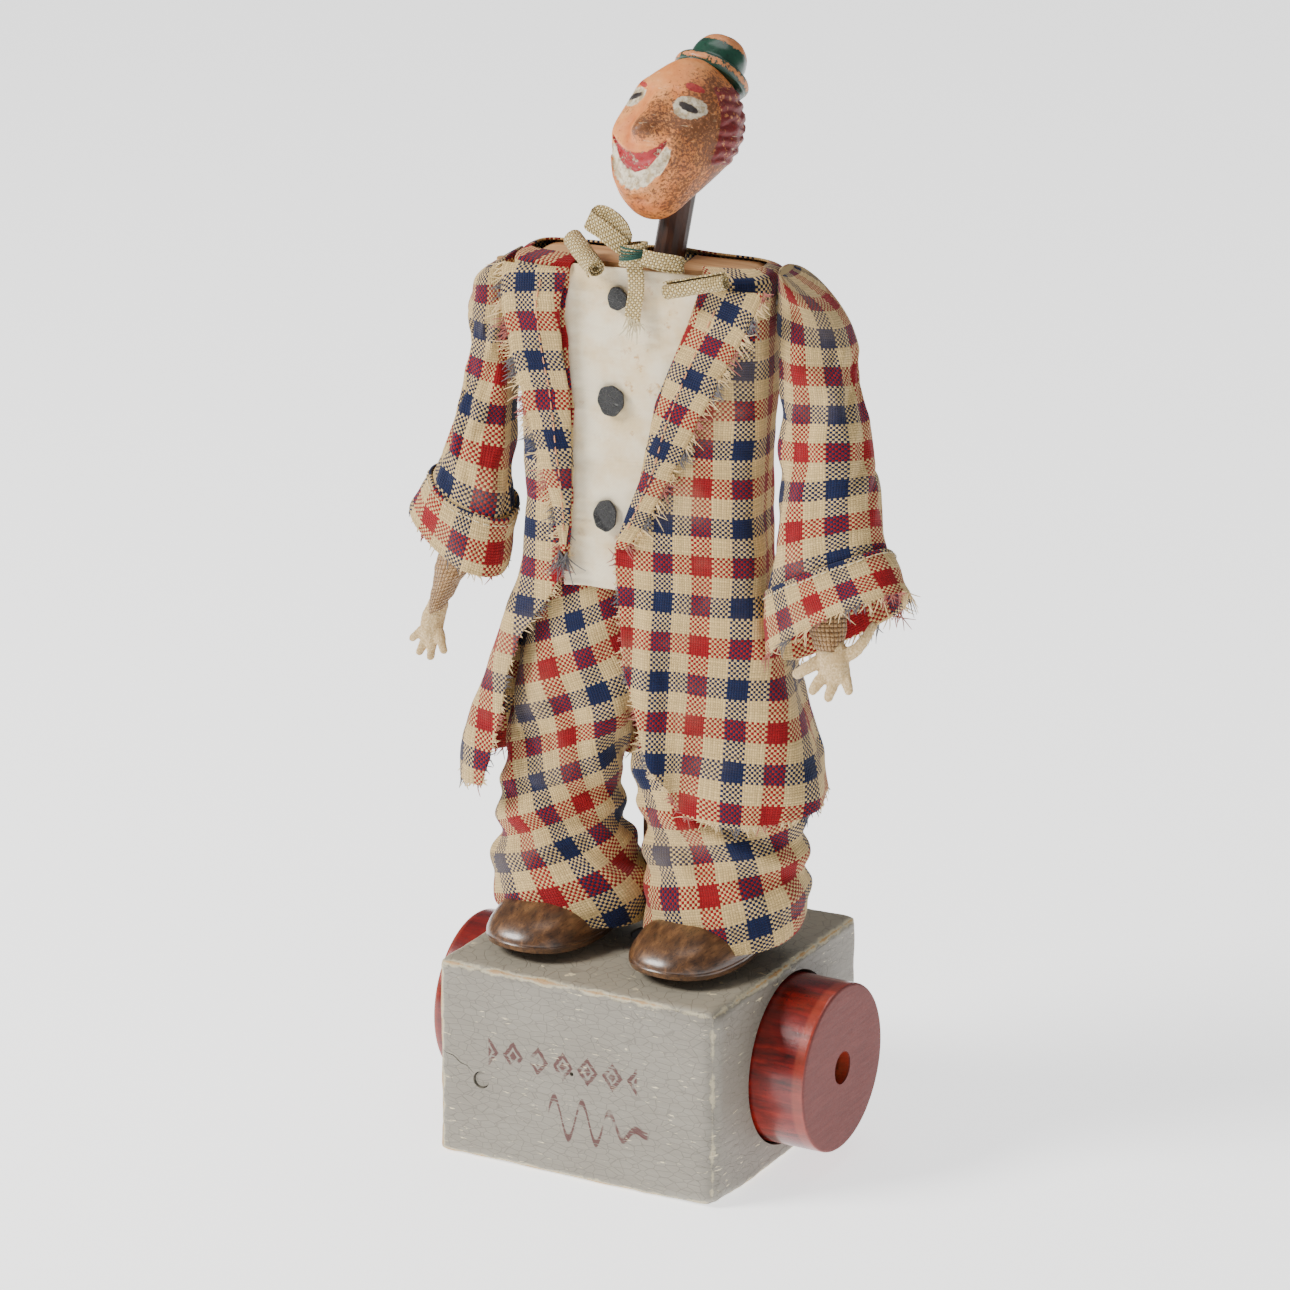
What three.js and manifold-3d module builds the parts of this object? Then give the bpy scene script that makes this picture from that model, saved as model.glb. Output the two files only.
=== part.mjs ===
// A clown jig puppet standing on a painted wooden block. Turning either of the two red rollers at the
// block's sides turns a snail cam inside it, which lifts and drops the figure on its rod.
//
// Millimetres, +Z up, the origin at the middle of the block's underside, the block's front towards -Y.
// The figure is turned a little about the lift rod, so its pieces are laid out in a group of their own.

import * as THREE from 'three';
import { RoundedBoxGeometry } from 'three/addons/geometries/RoundedBoxGeometry.js';
import * as BufferGeometryUtils from 'three/addons/utils/BufferGeometryUtils.js';
import Module from 'manifold-3d';

const wasm = await Module();
wasm.setup();

// ---- Driving dimensions ------------------------------------------------------------------------

const GAP = 0.3;                                  // between pieces that touch or are glued together

const BLOCK = { width: 80, depth: 78, height: 53, edge: 2.2 };
const ROLLER = { y: 2, z: 27, r: 22, bore: 22.8, sunk: 17.4, leftOut: 13, rightOut: 15 };
const CHAMBER_R = 16.5;
const RECESS_DEPTH = 18;
const AXLE_R = 4;
const CAM = { low: 6.2, high: 12.2, rise: 270, fall: 60, thick: 10 };
const PEG = { x: -27.5, z: 22, r: 2, inset: 0.6, tip: -16.6 };
const GROOVE = { width: 5.4, r: 18.5 };

const FIGURE_TURN = 8;                            // degrees, the figure's turn about the vertical
const ROD_R = 2.5;
const ROD_BORE = 2.8;
const ROD_TOP = 196;
const FOOT = { r: 5, thick: 3.8 };
const BUSH_R = 5.5;

const SHOE = { width: 28.4, length: 42, height: 11, sole: 1.7, lift: 2.6, turn: -13 };
const LEG_TOP = 106;
const HIP_Z = 124;
const PIN_R = 1.4;
const PELVIS = { width: 31, depth: 13, low: 116, high: 134 };
const BOARD = { top: 233.5, low: 138, front: -7, back: 6, topWidth: 62, lowWidth: 47 };
const SHOULDER_Z = 226;
const SCREW_TIP_X = 22;
const SCREW_HEAD_X = 39.5;
const SCREW_HEAD_R = 2.6;
const SCREW_BORE = 1.6;
const ARM_X = 37.8;                               // the arms' sticks swing this far out from the middle
const ARM_R = 2.8;
const CLOTH = 1.4;                                // stand-in thickness of one layer of cloth

const NECK = { x: 3.7, y: 0.2, pivotZ: 226.5, r: 4, back: 12, right: 6, length: 30, below: 5 };
const NECK_PIN_R = 1.2;
const HEAD = { turn: -16, back: 11, along: 36.8, forward: 3.2 };
const HAT = { place: [-0.4, 8.2, 51.6], back: 32, right: 6 };

// ---- Geometry helpers --------------------------------------------------------------------------

const rad = THREE.MathUtils.degToRad;

/** A closed geometry as a manifold solid, for joining and cutting. */
function solid(geometry) {
  const bare = geometry.clone();
  bare.deleteAttribute('normal');
  bare.deleteAttribute('uv');
  const merged = BufferGeometryUtils.mergeVertices(bare, 1e-4);
  return new wasm.Manifold(new wasm.Mesh({
    numProp: 3,
    vertProperties: Float32Array.from(merged.attributes.position.array),
    triVerts: Uint32Array.from(merged.index.array),
  }));
}

/** A manifold solid back as a geometry. */
function geometryOf(body) {
  const mesh = body.getMesh();
  const geometry = new THREE.BufferGeometry();
  geometry.setAttribute('position', new THREE.BufferAttribute(mesh.vertProperties, 3));
  geometry.setIndex(new THREE.BufferAttribute(mesh.triVerts, 1));
  geometry.computeVertexNormals();
  return geometry;
}

/** base with every cutter taken away. */
function cut(base, ...cutters) {
  return geometryOf(cutters.reduce((body, cutter) => body.subtract(solid(cutter)), solid(base)));
}

/** A cylinder between two points. */
function rod(from, to, radius, segments = 16) {
  const a = new THREE.Vector3(...from);
  const b = new THREE.Vector3(...to);
  const along = b.clone().sub(a);
  const geometry = new THREE.CylinderGeometry(radius, radius, along.length(), segments);
  const turn = new THREE.Quaternion().setFromUnitVectors(new THREE.Vector3(0, 1, 0), along.normalize());
  geometry.applyQuaternion(turn);
  return geometry.translate((a.x + b.x) / 2, (a.y + b.y) / 2, (a.z + b.z) / 2);
}

/** A solid of revolution about +Z from [radius, height] pairs that start and end on the axis. */
function turned(profile, segments = 20) {
  const geometry = new THREE.LatheGeometry(profile.map(([r, z]) => new THREE.Vector2(r, z)), segments);
  return geometry.rotateX(Math.PI / 2);
}

/** A box between two corners. */
function block(low, high) {
  const size = low.map((value, i) => high[i] - value);
  const middle = low.map((value, i) => (high[i] + value) / 2);
  return new THREE.BoxGeometry(...size).translate(...middle);
}

/** Every vertex of a geometry moved by move(point). */
function deform(geometry, move) {
  const position = geometry.attributes.position;
  const point = new THREE.Vector3();
  for (let i = 0; i < position.count; i += 1) {
    point.fromBufferAttribute(position, i);
    move(point);
    position.setXYZ(i, point.x, point.y, point.z);
  }
  return geometry;
}

/** Value at t of a list of [t, value] pairs in rising order of t, straight between them. */
function track(pairs, t) {
  const last = pairs.length - 1;
  if (t <= pairs[0][0]) return pairs[0][1];
  if (t >= pairs[last][0]) return pairs[last][1];
  const i = pairs.findIndex(([at]) => at > t);
  const [t0, v0] = pairs[i - 1];
  const [t1, v1] = pairs[i];
  return v0 + ((v1 - v0) * (t - t0)) / (t1 - t0);
}

/** A closed body of oval sections. Each station is {z, x, y, rx, ry}, from the lowest up. */
function loft(stations, segments = 18) {
  const rows = stations.length - 1;
  const geometry = new THREE.CylinderGeometry(1, 1, 1, segments, rows);
  return deform(geometry.rotateX(Math.PI / 2), (point) => {
    const s = stations[Math.round((point.z + 0.5) * rows)];
    point.set(s.x + point.x * s.rx, s.y + point.y * s.ry, s.z);
  });
}

/** A tube of cloth open at both ends, CLOTH thick, around the same stations as a loft. */
function tube(stations, thick = CLOTH, segments = 18) {
  const outer = solid(loft(stations, segments));
  const inner = stations.map((s) => ({ ...s, rx: s.rx - thick, ry: s.ry - thick }));
  const last = inner.length - 1;
  inner[0] = { ...inner[0], z: inner[0].z - 1 };
  inner[last] = { ...inner[last], z: inner[last].z + 1 };
  return outer.subtract(solid(loft(inner, segments)));
}

/** A plate of cloth over surface(u, v), u and v from 0 to 1, with its thickness along normal(u, v). */
function panel(surface, columns, rows, thick = CLOTH) {
  const step = 1e-3;
  const geometry = new THREE.BoxGeometry(1, 1, 1, columns, rows, 1);
  return deform(geometry, (point) => {
    const u = point.x + 0.5;
    const v = point.y + 0.5;
    const here = surface(u, v);
    const alongU = surface(u + step, v).sub(surface(u - step, v));
    const alongV = surface(u, v + step).sub(surface(u, v - step));
    const normal = alongU.cross(alongV).normalize();
    point.copy(here.addScaledVector(normal, point.z * thick));
  });
}

/** A flat plate of an outline in the XZ plane, from y0 forward to y0 - thick. */
function plate(points, y0, thick, curveSegments = 8) {
  const shape = Array.isArray(points)
    ? new THREE.Shape(points.map(([x, z]) => new THREE.Vector2(x, z)))
    : points;
  const geometry = new THREE.ExtrudeGeometry(shape, { depth: thick, bevelEnabled: false, curveSegments });
  return geometry.rotateX(Math.PI / 2).translate(0, y0, 0);
}

const root = new THREE.Group();
const figure = new THREE.Group();
figure.rotation.z = rad(FIGURE_TURN);
root.add(figure);

const COLOURS = {
  greyPaint: { color: 0x8f8b80, roughness: 0.7 },
  bareWood: { color: 0xc79a62, roughness: 0.7 },
  redStain: { color: 0x8f2a1e, roughness: 0.45 },
  darkWood: { color: 0x3b2417, roughness: 0.6 },
  shoeWood: { color: 0x5f4128, roughness: 0.3 },
  check: { color: 0x9a5a5c, roughness: 0.95 },
  shirt: { color: 0xe8dabb, roughness: 0.95 },
  gauze: { color: 0xc9b487, roughness: 0.95 },
  button: { color: 0x333333, roughness: 0.6 },
  flesh: { color: 0xd7823c, roughness: 0.6 },
  greenPaint: { color: 0x193c2d, roughness: 0.5 },
  felt: { color: 0xd7be91, roughness: 1 },
  steel: { color: 0x8a8a88, roughness: 0.4, metalness: 0.8 },
};

/** A named mesh of the object in its own material. */
function add(parent, name, geometry, look) {
  const material = new THREE.MeshStandardMaterial({ metalness: 0, ...COLOURS[look] });
  const mesh = new THREE.Mesh(geometry, material);
  mesh.name = name;
  parent.add(mesh);
  return mesh;
}

// ---- Block -------------------------------------------------------------------------------------

function sidewaysBore(x0, x1, radius, segments = 36) {
  return rod([x0, ROLLER.y, ROLLER.z], [x1, ROLLER.y, ROLLER.z], radius, segments);
}

function makeBlock() {
  const half = BLOCK.width / 2;
  const body = new RoundedBoxGeometry(BLOCK.width, BLOCK.depth, BLOCK.height, 2, BLOCK.edge);
  body.translate(0, 0, BLOCK.height / 2);
  const pegBore = rod([PEG.x, -BLOCK.depth, PEG.z], [PEG.x, ROLLER.y, PEG.z], PEG.r + GAP);
  const bushBore = rod([0, ROLLER.y, ROLLER.z], [0, ROLLER.y, BLOCK.height + 1], BUSH_R + GAP);
  add(root, 'base_block', cut(
    body,
    sidewaysBore(-half - 1, -half + RECESS_DEPTH, ROLLER.bore),
    sidewaysBore(half - RECESS_DEPTH, half + 1, ROLLER.bore),
    sidewaysBore(-half, half, CHAMBER_R, 28),
    pegBore,
    bushBore,
  ), 'greyPaint');

  const peg = rod([PEG.x, PEG.inset - BLOCK.depth / 2, PEG.z], [PEG.x, PEG.tip, PEG.z], PEG.r, 16);
  add(root, 'retaining_peg', peg, 'bareWood');

  const bushLow = ROLLER.z + CHAMBER_R + 0.2;
  const bush = rod([0, ROLLER.y, bushLow], [0, ROLLER.y, BLOCK.height - GAP], BUSH_R);
  const bushHole = rod([0, ROLLER.y, bushLow - 1], [0, ROLLER.y, BLOCK.height + 1], ROD_BORE);
  add(root, 'rod_guide_bush', cut(bush, bushHole), 'darkWood');
}

// ---- Rollers, axle and cam ---------------------------------------------------------------------

/** Radius of the snail cam at a turn of the roller, in degrees. */
function camRadius(turn) {
  const at = ((turn % 360) + 360) % 360;
  const dwell = 360 - CAM.rise - CAM.fall;
  return track([
    [0, CAM.low],
    [CAM.rise, CAM.high],
    [CAM.rise + dwell / 4, CAM.high],
    [CAM.rise + dwell / 4 + CAM.fall, CAM.low],
    [360, CAM.low],
  ], at);
}

function makeRoller() {
  const half = BLOCK.width / 2;
  const edge = 0.8;
  const knob = (out) => turned([
    [0, 0],
    [ROLLER.r - edge, 0],
    [ROLLER.r, edge],
    [ROLLER.r, ROLLER.sunk + out - edge],
    [ROLLER.r - edge, ROLLER.sunk + out],
    [0, ROLLER.sunk + out],
  ], 36);
  const inner = half - ROLLER.sunk;
  const leftEnd = -(half + ROLLER.leftOut - 5);
  const rightEnd = half + ROLLER.rightOut - 5;
  const axleBore = rod([leftEnd, ROLLER.y, ROLLER.z], [rightEnd, ROLLER.y, ROLLER.z], AXLE_R + GAP);

  const right = knob(ROLLER.rightOut).rotateY(Math.PI / 2).translate(inner, ROLLER.y, ROLLER.z);
  add(root, 'right_roller', cut(right, axleBore), 'redStain');

  const left = knob(ROLLER.leftOut).rotateY(-Math.PI / 2).translate(-inner, ROLLER.y, ROLLER.z);
  const ring = solid(sidewaysBore(PEG.x - GROOVE.width / 2, PEG.x + GROOVE.width / 2, ROLLER.r + 2));
  const core = solid(sidewaysBore(PEG.x - GROOVE.width, PEG.x + GROOVE.width, GROOVE.r));
  const grooved = solid(left).subtract(ring.subtract(core)).subtract(solid(axleBore));
  add(root, 'left_roller', geometryOf(grooved), 'redStain');

  // The pin holds the cam on the axle and stays inside the cam's low side at either end.
  const pinEnds = [[0, ROLLER.y - 7.5, ROLLER.z], [0, ROLLER.y + 5.6, ROLLER.z]];
  const pinBore = rod([0, ROLLER.y - 20, ROLLER.z], [0, ROLLER.y + 20, ROLLER.z], 1 + GAP, 16);
  const axle = rod([leftEnd + GAP, ROLLER.y, ROLLER.z], [rightEnd - GAP, ROLLER.y, ROLLER.z], AXLE_R);
  add(root, 'roller_axle', cut(axle, pinBore), 'bareWood');

  // The profile point that a turn brings to the top lies that far back from the top at rest.
  const steps = 48;
  const outline = [];
  for (let i = 0; i < steps; i += 1) {
    const turn = (360 * i) / steps;
    const angle = rad(90 - turn);
    outline.push(new THREE.Vector2(-camRadius(turn) * Math.sin(angle), camRadius(turn) * Math.cos(angle)));
  }
  const cam = new THREE.ExtrudeGeometry(new THREE.Shape(outline), { depth: CAM.thick, bevelEnabled: false });
  cam.rotateY(Math.PI / 2).translate(-CAM.thick / 2, ROLLER.y, ROLLER.z);
  add(root, 'lift_cam', cut(cam, axleBore, pinBore), 'bareWood');
  add(root, 'cam_pin', rod(...pinEnds, 1, 16), 'steel');
}

// ---- Lift rod, pelvis and chest ----------------------------------------------------------------

/** The rod's place in the figure's own turned frame. */
const rodAt = new THREE.Vector2(0, ROLLER.y).rotateAround(new THREE.Vector2(), rad(-FIGURE_TURN));

function neckPlace() {
  const place = new THREE.Group();
  place.position.set(NECK.x, NECK.y, NECK.pivotZ);
  place.rotation.set(rad(-NECK.back), rad(NECK.right), 0);
  return place;
}

function makeFrame() {
  const footLow = ROLLER.z + CAM.low + GAP;
  const rodLow = footLow + 1.8;
  const foot = turned([[0, 0], [FOOT.r - 1.2, 0], [FOOT.r, 1.2], [FOOT.r, FOOT.thick], [0, FOOT.thick]], 24);
  foot.translate(rodAt.x, rodAt.y, footLow);
  const rodSpace = rod([rodAt.x, rodAt.y, rodLow - GAP], [rodAt.x, rodAt.y, ROD_TOP + GAP], ROD_BORE);
  add(figure, 'follower_foot', cut(foot, rodSpace), 'darkWood');
  add(figure, 'lift_rod', rod([rodAt.x, rodAt.y, rodLow], [rodAt.x, rodAt.y, ROD_TOP], ROD_R), 'darkWood');

  const hipSpace = rod([-40, 0, HIP_Z], [40, 0, HIP_Z], PIN_R + GAP, 16);
  const pelvisBody = block(
    [rodAt.x - PELVIS.width / 2, -PELVIS.depth / 2, PELVIS.low],
    [rodAt.x + PELVIS.width / 2, PELVIS.depth / 2, PELVIS.high],
  );
  // The lift rod passes behind the hip pins, which stop short of it on either side.
  add(figure, 'pelvis_block', cut(pelvisBody, rodSpace, hipSpace), 'bareWood');
  for (const [name, side] of [['left', -1], ['right', 1]]) {
    const from = [rodAt.x + side * (ROD_BORE + 1.2), 0, HIP_Z];
    const to = [rodAt.x + side * 26.5, 0, HIP_Z];
    add(figure, `${name}_hip_pin`, rod(from, to, PIN_R, 16), 'steel');
  }

  const half = BOARD.topWidth / 2;
  const low = BOARD.lowWidth / 2;
  const outline = new THREE.Shape();
  outline.moveTo(-low, BOARD.low);
  outline.lineTo(low, BOARD.low);
  outline.lineTo(half, BOARD.top - 14);
  outline.lineTo(half, BOARD.top - 5);
  outline.quadraticCurveTo(half, BOARD.top, half - 6, BOARD.top);
  outline.lineTo(6 - half, BOARD.top);
  outline.quadraticCurveTo(-half, BOARD.top, -half, BOARD.top - 5);
  outline.lineTo(-half, BOARD.top - 14);
  const board = plate(outline, BOARD.back, BOARD.back - BOARD.front, 5);
  const slot = block([NECK.x - 5.2, -5.4, NECK.pivotZ - 6.5], [NECK.x + 6.4, BOARD.back + 1, BOARD.top + 1]);
  const neckPin = [[NECK.x - 10, NECK.y, NECK.pivotZ], [NECK.x + 11, NECK.y, NECK.pivotZ]];
  const neckPinSpace = rod(
    [NECK.x - 10.5, NECK.y, NECK.pivotZ],
    [NECK.x + 11.5, NECK.y, NECK.pivotZ],
    NECK_PIN_R + GAP,
    16,
  );
  const screwSpace = [-1, 1].map((side) => rod(
    [side * (SCREW_TIP_X - GAP), 0, SHOULDER_Z],
    [side * 40, 0, SHOULDER_Z],
    SCREW_BORE,
  ));
  add(figure, 'chest_board', cut(board, rodSpace, slot, neckPinSpace, ...screwSpace), 'bareWood');
  add(figure, 'neck_pin', rod(...neckPin, NECK_PIN_R, 16), 'steel');

  for (const [name, side] of [['left', -1], ['right', 1]]) {
    const shank = SCREW_HEAD_X - SCREW_TIP_X;
    const screw = turned([
      [0, 0],
      [SCREW_BORE - GAP, 0],
      [SCREW_BORE - GAP, shank],
      [SCREW_HEAD_R, shank],
      [SCREW_HEAD_R - GAP, shank + 1.2],
      [0, shank + 1.2],
    ], 16);
    screw.rotateY(side * Math.PI / 2).translate(side * SCREW_TIP_X, 0, SHOULDER_Z);
    add(figure, `${name}_shoulder_screw`, screw, 'steel');
  }
}

// ---- Head and neck -----------------------------------------------------------------------------

/** The head's skin around its own middle, its face towards -Y, 40 high. */
function headGeometry() {
  const geometry = new THREE.SphereGeometry(1, 26, 20).rotateX(Math.PI / 2);
  return deform(geometry, (point) => {
    const front = Math.max(0, -point.y);
    const h = point.z;
    const width = track([[-1, 0.42], [-0.75, 0.62], [-0.3, 0.9], [0.25, 1.02], [0.7, 1], [1, 0.9]], h);
    const back = track([[-1, 0.2], [-0.7, 0.45], [-0.2, 0.9], [0.3, 1.05], [1, 0.95]], h);
    const face = track([[-1, 0.78], [-0.7, 0.9], [-0.2, 1], [0.4, 0.98], [1, 0.9]], h);
    const x = point.x * 13.6 * width;
    let y = point.y * (point.y > 0 ? 16 * back : 15.5 * face);
    y += track([[-1, -6.5], [-0.5, -3.6], [0.1, 0], [1, 1.5]], h);
    const nose = Math.exp(-((x / 3.6) ** 2) - ((h - 0.08) / 0.17) ** 2);
    const cheek = Math.exp(-(((Math.abs(x) - 7) / 3.2) ** 2) - ((h + 0.02) / 0.2) ** 2);
    if (front > 0.2) y -= 6.2 * nose + 1.4 * cheek;
    point.set(x, y, h * 20);
  });
}

function makeHead() {
  const neck = neckPlace();
  figure.add(neck);
  const neckBody = rod([0, 0, -NECK.below], [0, 0, NECK.length], NECK.r);
  const pinSpace = rod([-12, 0, 0], [12, 0, 0], NECK_PIN_R + GAP, 16);
  pinSpace.rotateY(rad(-NECK.right));
  add(neck, 'neck_rod', cut(neckBody, pinSpace), 'darkWood');

  // The head stands on the neck, turned about it and tipped back.
  const skull = headGeometry();
  const turn = new THREE.Euler(rad(NECK.back - HEAD.back), rad(-NECK.right), 0);
  skull.applyQuaternion(new THREE.Quaternion().setFromEuler(turn));
  skull.rotateZ(rad(HEAD.turn));
  const facing = new THREE.Vector2(0, -HEAD.forward).rotateAround(new THREE.Vector2(), rad(HEAD.turn));
  skull.translate(facing.x, facing.y, HEAD.along);
  const socket = rod([0, 0, -40], [0, 0, NECK.length + GAP], NECK.r + GAP);
  add(neck, 'head', cut(skull, socket), 'flesh');

  const hat = turned([
    [0, 0],
    [9.2, 0],
    [9.6, 1.2],
    [8.8, 2.6],
    [7.3, 3.2],
    [6.9, 6.5],
    [5.2, 9.8],
    [2.4, 11.2],
    [0, 11.4],
  ], 20);
  const hatPlace = new THREE.Group();
  hatPlace.position.set(...HAT.place);
  hatPlace.rotation.set(rad(-HAT.back), rad(HAT.right), 0);
  neck.add(hatPlace);
  hatPlace.updateMatrix();
  const inHat = skull.clone().applyMatrix4(hatPlace.matrix.clone().invert());
  inHat.translate(0, 0, 0.4);
  add(hatPlace, 'hat', cut(hat, inHat), 'greenPaint');
}

// ---- Legs --------------------------------------------------------------------------------------

/** A clog around its own middle, toe towards -Y, sole at z = 0, swollen all round by grow. */
function clog(grow = 0) {
  const geometry = new THREE.SphereGeometry(1, 20, 10).rotateX(Math.PI / 2);
  const halfWidth = SHOE.width / 2;
  const halfLength = SHOE.length / 2;
  return deform(geometry, (point) => {
    const reach = Math.hypot(point.x, point.y);
    const angle = Math.atan2(point.y, point.x);
    const corner = point.y < 0 ? 5 : 2.6;
    const power = Math.abs(Math.cos(angle)) ** corner + Math.abs(Math.sin(angle)) ** corner;
    const square = power ** (-1 / corner);
    const spread = reach ** 0.8 * square;
    const x = spread * Math.cos(angle);
    const y = spread * Math.sin(angle);
    const waist = y > 0 ? 1 - 0.16 * y : 1;
    const toe = Math.max(0, -y - 0.35);
    const dome = SHOE.sole + (SHOE.height - SHOE.sole) * Math.max(0, point.z) ** 0.8;
    const sole = SHOE.sole * (1 - Math.min(1, -point.z * 3));
    const z = point.z >= 0 ? dome + grow * point.z : sole - grow * Math.min(1, -point.z * 3);
    point.set(
      x * waist * (halfWidth + grow),
      y * (halfLength + grow),
      z + 1.6 * toe ** 2 - (point.z > 0 ? 1.5 * point.z * Math.max(0, -y) : 0),
    );
  });
}

const LEGS = [
  { name: 'left', x: -23, rx: 19.4, stickX: -20.2, shoe: [-22.3, -8.6], y: -3.4 },
  { name: 'right', x: 24, rx: 20, stickX: 20.8, shoe: [18.2, -12.8], y: -5 },
];

function placed(geometry, { shoe }) {
  return geometry.rotateZ(rad(SHOE.turn)).translate(shoe[0], shoe[1], BLOCK.height + SHOE.lift);
}

function makeLeg(leg) {
  const top = BLOCK.height + SHOE.lift;
  const stickLow = top + 4;
  const stick = rod([leg.stickX, 0, stickLow], [leg.stickX, 0, HIP_Z + 5], 4);
  const hipSpace = rod([leg.stickX - 9, 0, HIP_Z], [leg.stickX + 9, 0, HIP_Z], PIN_R + GAP, 16);
  add(figure, `${leg.name}_leg_stick`, cut(stick, hipSpace), 'bareWood');

  const stickSpace = rod([leg.stickX, 0, stickLow - GAP], [leg.stickX, 0, top + 20], 4 + GAP);
  const screwSpace = rod([leg.stickX, 0, top - 2], [leg.stickX, 0, stickLow - 0.6], 2.2, 16);
  add(figure, `${leg.name}_shoe`, cut(placed(clog(), leg), stickSpace, screwSpace), 'shoeWood');
  const plug = rod([leg.stickX, 0, top + 0.2], [leg.stickX, 0, stickLow - 0.9], 1.9, 16);
  add(figure, `${leg.name}_shoe_plug`, plug, 'bareWood');

  const shoeSpace = solid(placed(clog(0.5), leg));
  const inner = leg.name === 'left' ? 1 : -1;
  const width = (low) => ({ x: leg.x + inner * low * 0.4, rx: leg.rx - low });
  const legTube = tube([
    { z: 68, y: leg.y, ry: 12, ...width(1.7) },
    { z: 80, y: leg.y, ry: 12.4, ...width(0.4) },
    { z: 92, y: leg.y / 2, ry: 11.4, ...width(2) },
    { z: LEG_TOP, y: -0.5, ry: 10, ...width(4) },
  ]);
  add(figure, `${leg.name}_trouser_leg`, geometryOf(legTube.subtract(shoeSpace)), 'check');
  const cuffTube = tube([
    { z: 60.5, y: leg.y, ry: 13.9, ...width(0) },
    { z: 70, y: leg.y, ry: 13.9, ...width(0) },
    { z: 79.5, y: leg.y, ry: 14.2, ...width(-1.2) },
  ]);
  const space = solid(loft([
    { z: 58, y: leg.y, ry: 12.3, ...width(1.4) },
    { z: 68, y: leg.y, ry: 12.3, ...width(1.4) },
    { z: 80, y: leg.y, ry: 12.7, ...width(0.1) },
  ]));
  const cuff = cuffTube.subtract(space).subtract(shoeSpace);
  const pieces = cuff.decompose().sort((a, b) => b.volume() - a.volume());
  add(figure, `${leg.name}_trouser_cuff`, geometryOf(pieces[0]), 'check');
}

// ---- Arms --------------------------------------------------------------------------------------

const ARMS = [
  {
    name: 'left',
    side: -1,
    stick: [[-ARM_X, 0, SHOULDER_Z + 3.4], [-47.4, -2, 160]],
    wrist: [[-48.4, -2, 158.2], [-55, -6, 137]],
    hand: [-57.4, -7.6, 129.6],
    handTurn: 24,
    sleeve: [
      { z: 150, x: -51.5, y: -3.4, rx: 12, ry: 9.4 },
      { z: 172, x: -47, y: -2, rx: 12.8, ry: 9 },
      { z: 196, x: -42.4, y: -0.6, rx: 10.6, ry: 8.4 },
      { z: 216, x: -39.8, y: 0, rx: 6.4, ry: 7.4 },
      { z: 231, x: -38, y: 0, rx: 4.8, ry: 6.2 },
    ],
  },
  {
    name: 'right',
    side: 1,
    stick: [[ARM_X, 0, SHOULDER_Z + 3.4], [49.4, -9, 160]],
    wrist: [[49.6, -9.2, 158.2], [52.4, -13.6, 146]],
    hand: [53.6, -15.8, 140],
    handTurn: -14,
    sleeve: [
      { z: 144, x: 54.6, y: -10.8, rx: 16.6, ry: 10.4 },
      { z: 166, x: 50, y: -8, rx: 15.4, ry: 9.8 },
      { z: 194, x: 45, y: -4.4, rx: 12.2, ry: 8.8 },
      { z: 216, x: 41.4, y: -1.4, rx: 8, ry: 7.6 },
      { z: 231, x: 38.4, y: 0, rx: 5.2, ry: 6.2 },
    ],
  },
];

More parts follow.
